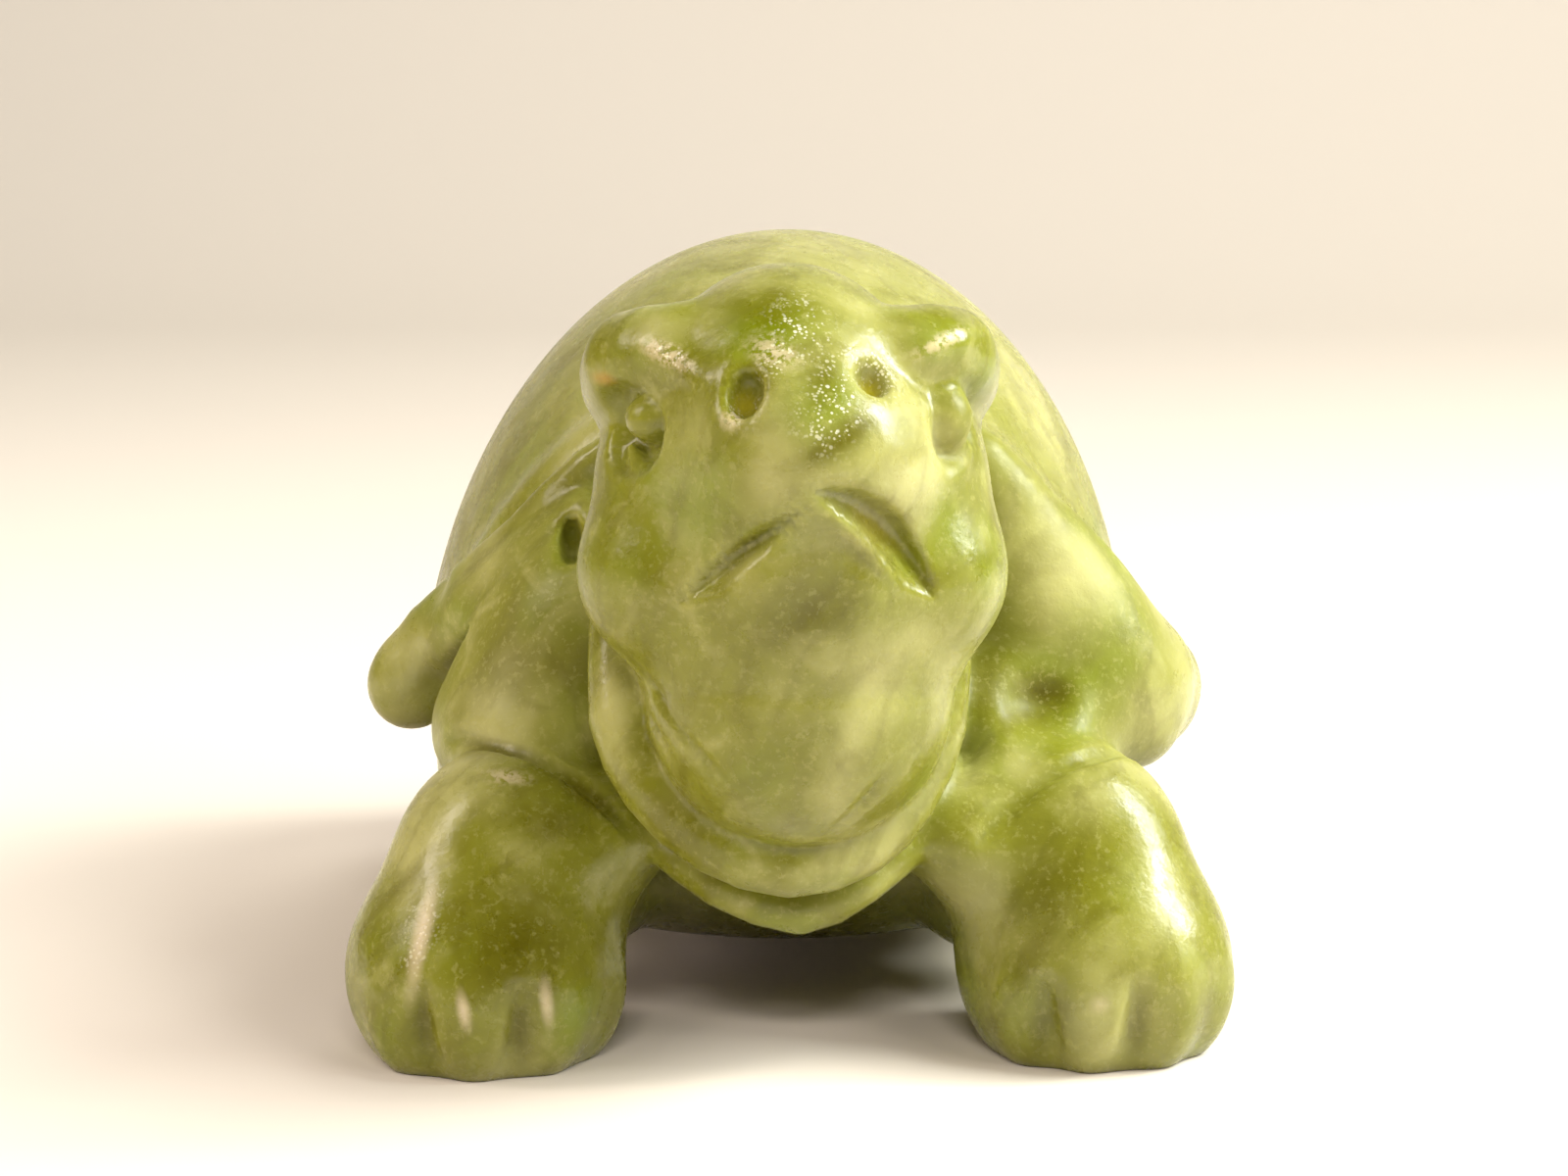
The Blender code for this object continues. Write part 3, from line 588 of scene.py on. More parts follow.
WRINKLES = (
    ([(-12.0, -47.0, 35.3), (-8.3, -48.6, 30.8), (-6.0, -51.0, 28.1), (-3.7, -52.2, 26.0)],
     [0.3, 0.9, 0.9, 0.3]),
    ([(-12.4, -45.0, 32.6), (-9.0, -47.4, 28.4), (-6.4, -49.0, 25.0)], [0.3, 0.7, 0.3]),
    ([(9.9, -49.0, 29.8), (7.9, -50.1, 27.4), (6.0, -50.9, 24.6), (3.4, -50.1, 21.8)],
     [0.3, 0.8, 0.9, 0.3]),
)


def head(carver, body):
    face = head_mass(carver)
    face = eyes(carver, face)
    face = brow_ridges(carver, face)
    face = nostrils(carver, face)
    face = mouth(carver, face)
    body = carver.join(body, face, TIGHT)
    front = carver.from_front()
    for points, radii in WRINKLES:
        body = carver.engrave(body, front.stroke(points, radii), *WRINKLE_LINE)
    return body


def carved_form(carver):
    """The whole carving: each mass in its order, and the soles cut flat."""
    body = shell(carver)
    body = shoulders(carver, body)
    body = hind_legs(carver, body)
    body = throat(carver, body)
    body = front_legs(carver, body)
    body = head(carver, body)
    return carver.trim(body, DOWN, 0.0, SOLE_EDGE)


def settle(tree, geometry, distance, unit):
    """Move each point of the surface along its normal until it lies on the form."""
    node = tree.nodes.new("GeometryNodeSetPosition")
    normal = tree.nodes.new("GeometryNodeInputNormal").outputs["Normal"]
    tree.links.new(geometry, node.inputs["Geometry"])
    metres = math_node(tree, "MULTIPLY", distance, unit)
    back = math_node(tree, "MULTIPLY", metres, -SETTLING_SHARE)
    tree.links.new(scale_node(tree, normal, back), node.inputs["Offset"])
    return node.outputs["Geometry"]


def level_soles(tree, geometry):
    """Nothing lies lower than the table."""
    node = tree.nodes.new("GeometryNodeSetPosition")
    position = tree.nodes.new("GeometryNodeInputPosition").outputs["Position"]
    tree.links.new(geometry, node.inputs["Geometry"])
    raised = vector_node(tree, "MAXIMUM", position, TABLE_CORNER)
    tree.links.new(raised, node.inputs["Position"])
    return node.outputs["Geometry"]


def carving_tree(material):
    """The block of stone carved to the form, with named inputs for its sizes."""
    tree, start, end = new_group(
        "Turtle carving",
        "GeometryNodeTree",
        (
            ("Length", "NodeSocketFloat", OVERALL_LENGTH),
            ("Voxel", "NodeSocketFloat", VOXEL),
            ("Cut depth", "NodeSocketFloat", 1.0),
            ("Stone", "NodeSocketMaterial", None),
        ),
        (("Geometry", "NodeSocketGeometry"),),
    )
    unit = math_node(tree, "DIVIDE", start.outputs["Length"], UNITS_LONG)
    position = tree.nodes.new("GeometryNodeInputPosition").outputs["Position"]
    placed = scale_node(tree, position, math_node(tree, "DIVIDE", 1.0, unit))
    point = vector_node(tree, "SUBTRACT", placed, CENTRE_SHIFT)
    carver = Carver(tree, point, ball_group(), limb_group(), start.outputs["Cut depth"])
    body = carved_form(carver)

    block = tree.nodes.new("GeometryNodeVolumeCube")
    for name, corner in (("Min", BLOCK_LOW), ("Max", BLOCK_HIGH)):
        tree.links.new(scale_node(tree, corner, unit), block.inputs[name])
    per_unit = math_node(tree, "DIVIDE", unit, start.outputs["Voxel"])
    for axis, low, high in zip("XYZ", BLOCK_LOW, BLOCK_HIGH):
        steps = math_node(tree, "ROUND", math_node(tree, "MULTIPLY", per_unit, high - low))
        tree.links.new(steps, block.inputs[f"Resolution {axis}"])
    depth = math_node(tree, "DIVIDE", body, -SURFACE_BAND)
    plug(tree, math_node(tree, "ADD", depth, 1.0), block.inputs["Density"])
    surface = tree.nodes.new("GeometryNodeVolumeToMesh")
    surface.inputs["Threshold"].default_value = 1.0
    tree.links.new(block.outputs["Volume"], surface.inputs["Volume"])
    geometry = surface.outputs["Mesh"]
    for _ in range(SETTLING_STEPS):
        geometry = settle(tree, geometry, body, unit)
    geometry = level_soles(tree, geometry)
    real = tree.nodes.new("GeometryNodeRealizeInstances")
    tree.links.new(geometry, real.inputs["Geometry"])
    smooth = tree.nodes.new("GeometryNodeSetShadeSmooth")
    tree.links.new(real.outputs["Geometry"], smooth.inputs["Geometry"])
    finish = tree.nodes.new("GeometryNodeSetMaterial")
    tree.links.new(smooth.outputs["Geometry"], finish.inputs["Geometry"])
    tree.links.new(start.outputs["Stone"], finish.inputs["Material"])
    tree.links.new(finish.outputs["Geometry"], end.inputs["Geometry"])
    return tree


def carved_turtle(material):
    """The carving as one plain mesh that stands for the solid."""
    source = bpy.data.objects.new("carving_source", bpy.data.meshes.new("carving_source"))
    bpy.context.scene.collection.objects.link(source)
    carve = source.modifiers.new("Carving", "NODES")
    carve.node_group = carving_tree(material)
    sizes = {"Length": OVERALL_LENGTH, "Voxel": VOXEL, "Cut depth": 1.0, "Stone": material}
    for item in carve.node_group.interface.items_tree:
        if item.item_type == "SOCKET" and item.in_out == "INPUT":
            carve[item.identifier] = sizes[item.name]
    graph = bpy.context.evaluated_depsgraph_get()
    mesh = bpy.data.meshes.new_from_object(source.evaluated_get(graph), depsgraph=graph)
    mesh.name = "carved_turtle"
    bpy.data.objects.remove(source, do_unlink=True)
    turtle = bpy.data.objects.new("carved_turtle", mesh)
    bpy.context.scene.collection.objects.link(turtle)
    return turtle


def shade(red, green, blue):
    """A colour seen as 0 to 255 on screen, as the linear colour that a shader takes."""
    linear = [((value / 255 + 0.055) / 1.055) ** 2.4 for value in (red, green, blue)]
    return (*linear, 1.0)


# The stone's own colours, and colours painted in as shade, light, highlights, glints and glow
STONE_GREEN = shade(116, 117, 32)
# The olive of the veins, also laid in hollows, creases and grooves as painted shade
OLIVE_VEIN_AND_SHADE = shade(84, 80, 2)
# A pale tone of the stone, also painted in as light on lit parts
PALE_CLOUD_AND_LIGHT = shade(165, 162, 102)
GRASS_TINT = shade(108, 120, 14)
RUST_STAIN = shade(176, 124, 30)
# The pale of chips, also painted as glints on the muzzle
PIT_GLINT = shade(236, 232, 206)
# The pinkish white of painted highlights
PAINTED_PINK_HIGHLIGHT = shade(206, 190, 158)
# A bright olive painted as glow inside the nostrils, a mouth groove and a pit, lighter than the shade there
PAINTED_PIT_GLOW = shade(162, 152, 34)


def noise_node(tree, point, scale, detail=3.0, roughness=0.55, warp=0.0):
    node = tree.nodes.new("ShaderNodeTexNoise")
    plug(tree, point, node.inputs["Vector"])
    node.inputs["Scale"].default_value = scale
    node.inputs["Detail"].default_value = detail
    node.inputs["Roughness"].default_value = roughness
    node.inputs["Distortion"].default_value = warp
    return node.outputs["Fac"]


def noise_vector_node(tree, point, scale, detail=2.0):
    """Three noises at once, as a plain vector."""
    node = tree.nodes.new("ShaderNodeTexNoise")
    plug(tree, point, node.inputs["Vector"])
    node.inputs["Scale"].default_value = scale
    node.inputs["Detail"].default_value = detail
    parts = tree.nodes.new("ShaderNodeSeparateColor")
    tree.links.new(node.outputs["Color"], parts.inputs["Color"])
    vector = tree.nodes.new("ShaderNodeCombineXYZ")
    for colour, axis in zip(("Red", "Green", "Blue"), "XYZ"):
        tree.links.new(parts.outputs[colour], vector.inputs[axis])
    return vector.outputs["Vector"]


def cell_node(tree, point, scale):
    """How far a point is from the nearest of many scattered seeds."""
    node = tree.nodes.new("ShaderNodeTexVoronoi")
    plug(tree, point, node.inputs["Vector"])
    node.inputs["Scale"].default_value = scale
    return node.outputs["Distance"]


def band_node(tree, value, low, high, first=0.0, last=1.0):
    """A smooth step from first to last while the value goes from low to high."""
    node = tree.nodes.new("ShaderNodeMapRange")
    node.interpolation_type = "SMOOTHSTEP"
    node.clamp = False
    plug(tree, value, node.inputs["Value"])
    for name, number in (("From Min", low), ("From Max", high), ("To Min", first), ("To Max", last)):
        plug(tree, number, node.inputs[name])
    return node.outputs["Result"]


def blend_node(tree, mask, first, second, mode="MIX"):
    """The first colour where the mask is 0, and the second where it is 1."""
    node = tree.nodes.new("ShaderNodeMix")
    node.data_type = "RGBA"
    node.blend_type = mode
    sockets = [socket for socket in node.inputs if socket.enabled]
    for source, socket in zip((mask, first, second), sockets):
        plug(tree, source, socket)
    return next(socket for socket in node.outputs if socket.enabled)


def product(tree, first, *others):
    for other in others:
        first = math_node(tree, "MULTIPLY", first, other)
    return first


# How the noise pushes the edge of a patch about
RAGGED_SCALE = 0.16
RAGGED_DETAIL = 3.0
NOISE_MIDDLE = (0.5, 0.5, 0.5)


def patch_group(turned):
    """A soft-edged patch of the stone, ragged where the push moves its edge about."""
    inputs = [
        ("Point", "NodeSocketVector", None),
        ("Push", "NodeSocketVector", None),
        ("Centre", "NodeSocketVector", None),
        ("Reach", "NodeSocketVector", (1.0, 1.0, 1.0)),
        ("Raggedness", "NodeSocketFloat", 0.5),
        ("Strength", "NodeSocketFloat", 1.0),
    ]
    if turned:
        inputs.append(("Turn", "NodeSocketFloat", 0.0))
    name = "Turned stone patch" if turned else "Stone patch"
    tree, start, end = new_group(name, "ShaderNodeTree", inputs, (("Mask", "NodeSocketFloat"),))
    local = vector_node(tree, "SUBTRACT", start.outputs["Point"], start.outputs["Centre"])
    if turned:
        local = turn_back_node(tree, local, start.outputs["Turn"], "Y_AXIS")
    per_reach = vector_node(tree, "DIVIDE", (1.0, 1.0, 1.0), start.outputs["Reach"])
    pushed = scale_node(tree, start.outputs["Push"], start.outputs["Raggedness"])
    shares = vector_node(tree, "MULTIPLY_ADD", local, per_reach, pushed)
    share = vector_node(tree, "LENGTH", shares)
    plug(tree, band_node(tree, share, 1.0, 0.0, 0.0, start.outputs["Strength"]), end.inputs["Mask"])
    return tree


def vein_group():
    """Thin wandering veins where a warped noise passes its middle value."""
    tree, start, end = new_group(
        "Stone veins",
        "ShaderNodeTree",
        (
            ("Point", "NodeSocketVector", None),
            ("Scale", "NodeSocketFloat", 0.1),
            ("Width", "NodeSocketFloat", 0.03),
        ),
        (("Mask", "NodeSocketFloat"),),
    )
    node = tree.nodes.new("ShaderNodeTexNoise")
    tree.links.new(start.outputs["Point"], node.inputs["Vector"])
    tree.links.new(start.outputs["Scale"], node.inputs["Scale"])
    node.inputs["Detail"].default_value = 3.0
    node.inputs["Distortion"].default_value = 0.8
    off_middle = math_node(tree, "ABSOLUTE", math_node(tree, "SUBTRACT", node.outputs["Fac"], 0.5))
    plug(tree, band_node(tree, off_middle, start.outputs["Width"], 0.0), end.inputs["Mask"])
    return tree


# Patches of the stone, in units: centre, reach, turn about the front view in degrees, how ragged the
# edge is, and strength; some are the stone's colour, some painted shade, light or highlights
# Olive patches of the stone, and olive painted as shade in hollows, creases and grooves
OLIVE_AND_SHADE_PATCHES = (
    # Painted shade under the belly and on the inner legs
    ((0.0, -6.0, 5.0), (19.0, 36.0, 12.0), 0.0, 0.2, 1.0),
    # Painted shade in the left shoulder pit, the pocket under the left rim and beside the jaw on the right
    ((-17.0, -24.0, 40.2), (1.8, 4.0, 2.6), 0.0, 0.2, 0.4),
    ((-27.6, -16.0, 28.2), (1.8, 6.0, 4.4), 30.0, 0.3, 0.9),
    ((16.6, -28.0, 31.0), (3.0, 6.0, 8.0), 12.0, 0.5, 0.7),
    # Painted shade in the grooves between the toes
    ((-28.2, -43.6, 5.0), (1.4, 5.0, 5.0), 0.0, 0.3, 0.7),
    ((-20.9, -44.0, 4.6), (1.6, 5.0, 5.0), 0.0, 0.3, 0.8),
    ((20.6, -41.0, 4.0), (1.3, 5.0, 4.4), 0.0, 0.3, 0.7),
    ((27.9, -42.0, 4.0), (1.3, 5.0, 4.4), 0.0, 0.3, 0.7),
    ((34.0, -39.0, 4.0), (1.3, 5.0, 4.0), 0.0, 0.3, 0.5),
    # Olive patches on the crown, muzzle and chin
    ((-1.5, -51.5, 62.0), (7.0, 7.0, 3.2), 0.0, 0.9, 0.55),
    ((4.2, -58.5, 53.0), (6.5, 6.0, 2.1), -28.0, 0.7, 0.9),
    ((2.4, -56.5, 57.6), (2.6, 5.0, 4.0), 0.0, 0.9, 0.7),
    ((1.4, -57.0, 39.9), (7.4, 5.0, 3.6), -40.0, 0.7, 0.8),
    # Painted shade in the two grooves of the mouth
    ((-3.2, -57.0, 44.2), (5.4, 5.0, 1.1), -40.0, 0.3, 0.8),
    ((7.2, -56.0, 45.4), (5.6, 6.0, 1.4), 44.0, 0.3, 0.8),
    # Olive patches on the legs
    ((-21.0, -43.0, 11.0), (7.5, 6.0, 8.0), 12.0, 0.6, 0.85),
    ((-18.5, -38.0, 20.0), (6.5, 6.0, 2.6), 10.0, 0.8, 0.6),
    ((21.4, -42.0, 5.0), (5.5, 5.0, 5.5), 0.0, 0.7, 0.8),
    ((21.4, -38.5, 14.5), (4.5, 6.0, 6.0), 20.0, 0.7, 0.5),
    # Painted shade in the hollow on the right shoulder and below it
    ((21.6, -25.0, 28.0), (4.0, 6.0, 2.4), 10.0, 0.5, 1.0),
    ((20.6, -27.0, 26.4), (6.0, 6.0, 1.6), 6.0, 0.5, 0.5),
    # An olive patch on the chin
    ((1.0, -57.0, 41.0), (8.0, 5.0, 4.0), -35.0, 0.8, 0.5),
    # Painted shade on the left shoulder under the rim
    ((-18.4, -25.0, 31.0), (8.5, 8.0, 9.5), 30.0, 0.6, 1.0),
    # Painted shade along the left knee crease
    ((-22.6, -29.5, 24.0), (6.5, 6.0, 1.2), 6.0, 0.25, 1.0),
    ((-15.6, -34.0, 21.4), (5.0, 6.0, 1.3), 36.0, 0.25, 1.0),
    # More olive patches
    ((-22.6, -17.0, 38.4), (1.0, 4.0, 2.4), 25.0, 0.3, 0.6),
    ((-8.0, -46.0, 20.5), (6.0, 5.0, 3.6), 40.0, 0.6, 0.6),
    ((-11.0, -49.0, 44.0), (4.0, 6.0, 6.0), 0.0, 0.9, 0.15),
)
GRASS_PATCHES = (
    ((-1.5, -52.5, 60.6), (7.0, 7.0, 3.8), 0.0, 0.6, 0.95),
    ((3.0, -57.5, 55.5), (4.6, 6.0, 5.5), 0.0, 0.6, 0.8),
    ((12.4, -51.0, 46.0), (3.6, 5.0, 6.0), 0.0, 0.6, 0.35),
    ((15.5, -45.0, 56.0), (4.0, 6.0, 4.0), 0.0, 0.6, 0.6),
    ((26.0, -22.0, 31.5), (7.0, 8.0, 7.0), 0.0, 0.6, 0.5),
    ((-16.0, -42.0, 5.0), (5.0, 6.0, 4.5), 0.0, 0.6, 0.8),
    ((20.0, -42.0, 6.0), (8.0, 6.0, 5.0), 0.0, 0.6, 0.6),
    ((10.5, -47.0, 24.0), (3.5, 5.0, 6.0), -20.0, 0.6, 0.6),
)
# Pale patches of the stone, and pale colour painted as light where light falls
PALE_AND_PAINTED_LIGHT_PATCHES = (
    ((8.8, -56.5, 50.0), (4.6, 6.0, 4.6), 0.0, 0.8, 0.8),
    ((8.6, -53.5, 60.2), (4.2, 5.0, 2.4), 0.0, 0.8, 0.7),
    ((-29.0, -38.0, 16.5), (4.0, 7.0, 9.5), 18.0, 0.6, 0.7),
    ((30.5, -37.0, 12.0), (4.2, 8.0, 9.0), -15.0, 0.6, 0.6),
    ((24.5, -34.5, 21.0), (4.0, 5.0, 4.0), 0.0, 0.7, 0.5),
    ((14.6, -33.0, 24.0), (3.4, 6.0, 5.0), 20.0, 0.6, 0.6),
    # Painted light on the left collar
    ((-13.4, -40.5, 29.5), (2.6, 5.0, 8.0), -12.0, 0.4, 0.95),
    # Pale patches on the face, chin and shell
    ((-3.0, -56.5, 43.0), (5.0, 4.0, 3.0), 30.0, 0.8, 0.4),
    ((6.5, -55.0, 34.0), (4.5, 6.0, 7.0), 0.0, 0.9, 0.55),
    ((-9.0, -54.0, 52.0), (5.0, 6.0, 5.0), 0.0, 0.9, 0.35),
    ((0.0, 14.0, 48.0), (48.0, 60.0, 34.0), 0.0, 0.3, 0.4),
    # Painted light on the left lobe of the rim, the right shoulder skin and the right rim band
    ((-31.0, -8.0, 28.0), (5.0, 8.0, 7.0), 0.0, 0.5, 1.0),
    ((19.2, -30.0, 23.0), (3.8, 6.0, 2.6), 10.0, 0.6, 0.95),
    ((23.6, -23.0, 36.5), (7.5, 8.0, 8.0), 0.0, 0.5, 1.0),
    # Pale patches on the brows and face
    ((-9.8, -49.0, 60.4), (4.6, 5.0, 2.4), 0.0, 0.5, 0.6),
    ((10.5, -52.0, 51.0), (4.6, 6.0, 5.0), 0.0, 0.6, 0.9),
    ((-5.0, -50.5, 60.6), (3.6, 5.0, 2.6), 20.0, 0.6, 0.5),
    ((-6.5, -54.0, 53.0), (4.0, 5.0, 4.0), 0.0, 0.6, 0.5),
)
# Painted speckled highlights on the brow ridges, the left nostril's rim and the left knee
SPECKLED_HIGHLIGHT_PATCHES = (
    ((-8.4, -50.6, 58.4), (4.4, 4.0, 1.3), 24.0, 0.5, 0.7),
    ((-1.0, -55.0, 59.3), (3.2, 4.0, 1.6), 20.0, 0.5, 0.6),
    ((-3.8, -57.0, 54.4), (1.5, 3.0, 1.2), 0.0, 0.5, 0.6),
    ((12.0, -49.0, 59.4), (4.6, 4.0, 0.9), -24.0, 0.4, 0.7),
    ((-22.2, -36.0, 23.2), (3.0, 3.0, 0.8), 5.0, 0.4, 0.5),
)
# Painted highlight streaks on the left leg and on the toes
SHEEN_PATCHES = (
    ((-28.5, -42.0, 11.6), (1.1, 5.0, 7.0), 11.0, 0.3, 0.75),
    ((-25.0, -45.1, 6.4), (0.8, 2.6, 2.4), -10.0, 0.3, 0.7),
    ((-18.6, -43.7, 6.6), (0.8, 2.6, 3.2), -5.0, 0.3, 0.65),
    ((24.9, -42.6, 6.2), (1.2, 3.0, 1.2), 0.0, 0.5, 0.3),
)
# Painted glow in the nostrils, the right mouth groove and the left shoulder pit
PAINTED_GLOW_PATCHES = (
    ((-2.8, -55.2, 55.0), (1.6, 1.9, 2.2), 0.0, 0.1, 1.0),
    ((7.4, -56.0, 45.6), (5.8, 6.0, 1.2), 44.0, 0.3, 0.4),
    ((6.4, -53.0, 55.9), (1.4, 1.9, 1.8), 0.0, 0.1, 1.0),
    ((-17.2, -22.6, 40.6), (1.2, 3.0, 2.0), 0.0, 0.1, 0.6),
)
DULL_PATCHES = (
    ((20.0, -24.0, 35.0), (19.0, 18.0, 24.0), 0.0, 0.3, 1.0),
    ((-22.0, -22.0, 31.0), (15.0, 16.0, 16.0), 0.0, 0.3, 1.0),
    ((18.0, -34.0, 21.0), (11.0, 11.0, 10.0), 0.0, 0.3, 1.0),
    ((13.8, -46.5, 46.0), (4.0, 6.0, 5.5), 0.0, 0.2, 1.0),
    ((8.6, -55.0, 53.4), (2.6, 4.0, 2.4), 0.0, 0.2, 0.7),
    ((13.5, -49.0, 52.0), (4.0, 6.0, 5.5), 0.0, 0.2, 0.9),
    ((0.0, -41.0, 20.0), (15.0, 9.0, 9.0), 0.0, 0.3, 0.5),
)
STAINS = (((-13.2, -45.5, 56.4), (1.8, 2.6, 1.0), -10.0, 0.5, 0.8),)
CHIPPED_PATCHES = (
    ((3.6, -57.0, 55.5), (3.6, 7.0, 6.0), 14.0, 0.7, 1.0),
    ((6.9, -54.6, 57.8), (4.4, 5.0, 4.0), 0.0, 0.5, 1.0),
    ((0.9, -53.0, 60.4), (3.8, 6.0, 5.0), 0.0, 0.6, 0.9),
    ((-8.2, -51.3, 58.4), (3.6, 4.0, 1.1), 26.0, 0.4, 1.0),
    ((-0.9, -55.0, 58.0), (1.6, 3.0, 2.2), 0.0, 0.4, 1.0),
    ((-2.6, -56.6, 55.0), (2.6, 3.0, 3.0), 0.0, 0.4, 0.6),
    ((-28.6, -42.0, 12.0), (2.2, 5.0, 6.4), 11.0, 0.5, 0.6),
)


def patches(tree, groups, point, push, rows):
    """One mask for several patches, each with its own strength."""
    together = None
    for centre, reach, turn, raggedness, strength in rows:
        node = tree.nodes.new("ShaderNodeGroup")
        node.node_tree = groups[turn != 0.0]
        tree.links.new(point, node.inputs["Point"])
        tree.links.new(push, node.inputs["Push"])
        node.inputs["Centre"].default_value = centre
        node.inputs["Reach"].default_value = reach
        node.inputs["Raggedness"].default_value = raggedness
        node.inputs["Strength"].default_value = strength
        if turn != 0.0:
            node.inputs["Turn"].default_value = math.radians(turn)
        mask = node.outputs["Mask"]
        together = mask if together is None else math_node(tree, "MAXIMUM", together, mask)
    return together


def veins(tree, vein, point, scale, width):
    node = tree.nodes.new("ShaderNodeGroup")
    node.node_tree = vein
    tree.links.new(point, node.inputs["Point"])
    node.inputs["Scale"].default_value = scale
    node.inputs["Width"].default_value = width
    return node.outputs["Mask"]


# Directions that run through the stone, each as a turn in radians and a stretch of the point
STREAK_TURN = (0.2, 0.6, 0.0)
STREAK_STRETCH = (1.0, 1.0, 0.34)
SCRATCH_TURN = (0.5, 0.9, 0.3)
SCRATCH_STRETCH = (6.0, 6.0, 0.35)

# How many seeds of a chip lie along one unit, and how strongly the stray chip marks outside the chipped
# places show
COARSE_CHIPS = 1.5
FINE_CHIPS = 3.0
STRAY_CHIPS = 0.9
STRAY_STRENGTH = 0.14

# Relief of the polish in metres, and the shader's plain values, with the light's reach in metres
BUMP_DEPTH = 0.00012
POLISHED_STONE = {
    "Metallic": 0.0,
    "IOR": 1.48,
    "Subsurface Weight": 0.6,
    "Subsurface Radius": (1.0, 0.95, 0.4),
    "Subsurface Scale": 0.0025,
}


def stone_colour(tree, point, spots, vein, chips_and_glints):
    """Clouds, veins and patches from the broadest to the finest, with painted shade, light, highlights,
    glints and glow.
    """
    broad = noise_node(tree, point, 0.055, 3.0, 0.5, 0.4)
    cloudy = band_node(tree, broad, 0.48, 0.7)
    colour = blend_node(tree, product(tree, cloudy, 0.7), STONE_GREEN, PALE_CLOUD_AND_LIGHT)
    tint = band_node(tree, noise_node(tree, point, 0.075, 2.0, 0.5, 0.3), 0.5, 0.72)
    colour = blend_node(tree, product(tree, tint, 0.55), colour, GRASS_TINT)
    blotches = noise_node(tree, point, 0.2, 4.0, 0.6, 0.8)
    colour = blend_node(tree, band_node(tree, blotches, 0.5, 0.7, 0.0, 0.35), colour, PALE_CLOUD_AND_LIGHT)
    colour = blend_node(tree, band_node(tree, blotches, 0.5, 0.3, 0.0, 0.25), colour, OLIVE_VEIN_AND_SHADE)
    # Pale patches, partly the stone's colour and partly painted light
    colour = blend_node(tree, spots(PALE_AND_PAINTED_LIGHT_PATCHES), colour, PALE_CLOUD_AND_LIGHT)
    colour = blend_node(tree, spots(GRASS_PATCHES), colour, GRASS_TINT)
    streaked = vector_node(tree, "MULTIPLY", turn_back_node(tree, point, STREAK_TURN), STREAK_STRETCH)
    dark = band_node(tree, noise_node(tree, streaked, 0.16, 4.0, 0.6, 0.6), 0.52, 0.74)
    colour = blend_node(tree, product(tree, dark, 0.5), colour, OLIVE_VEIN_AND_SHADE)
    mottle = band_node(tree, noise_node(tree, point, 0.55, 3.0, 0.6), 0.35, 0.7, 0.82, 1.1)
    # Olive patches, partly the stone's colour and partly painted shade
    olive_and_shade = product(tree, spots(OLIVE_AND_SHADE_PATCHES), mottle)
    colour = blend_node(tree, olive_and_shade, colour, OLIVE_VEIN_AND_SHADE)
    thin = product(tree, veins(tree, vein, streaked, 0.09, 0.05), 0.22)
    colour = blend_node(tree, thin, colour, OLIVE_VEIN_AND_SHADE)
    grain = band_node(tree, noise_node(tree, point, 1.7, 3.0, 0.65), 0.3, 0.7, 0.9, 1.08)
    colour = blend_node(tree, product(tree, band_node(tree, grain, 1.02, 1.08), 0.25), colour, PALE_CLOUD_AND_LIGHT)
    colour = blend_node(tree, spots(STAINS), colour, RUST_STAIN)
    # Painted highlights, speckled by the grain
    speckled_highlight = product(tree, spots(SPECKLED_HIGHLIGHT_PATCHES), band_node(tree, grain, 0.93, 1.02))
    colour = blend_node(tree, speckled_highlight, colour, PAINTED_PINK_HIGHLIGHT)
    # Painted highlight streaks
    colour = blend_node(tree, spots(SHEEN_PATCHES), colour, PAINTED_PINK_HIGHLIGHT)
    # Chips painted pale as glints; the same marks are cut as pits in the relief below
    colour = blend_node(tree, product(tree, chips_and_glints, 0.75), colour, PIT_GLINT)
    # Painted glow that lightens the nostrils and pits
    return blend_node(tree, spots(PAINTED_GLOW_PATCHES), colour, PAINTED_PIT_GLOW)


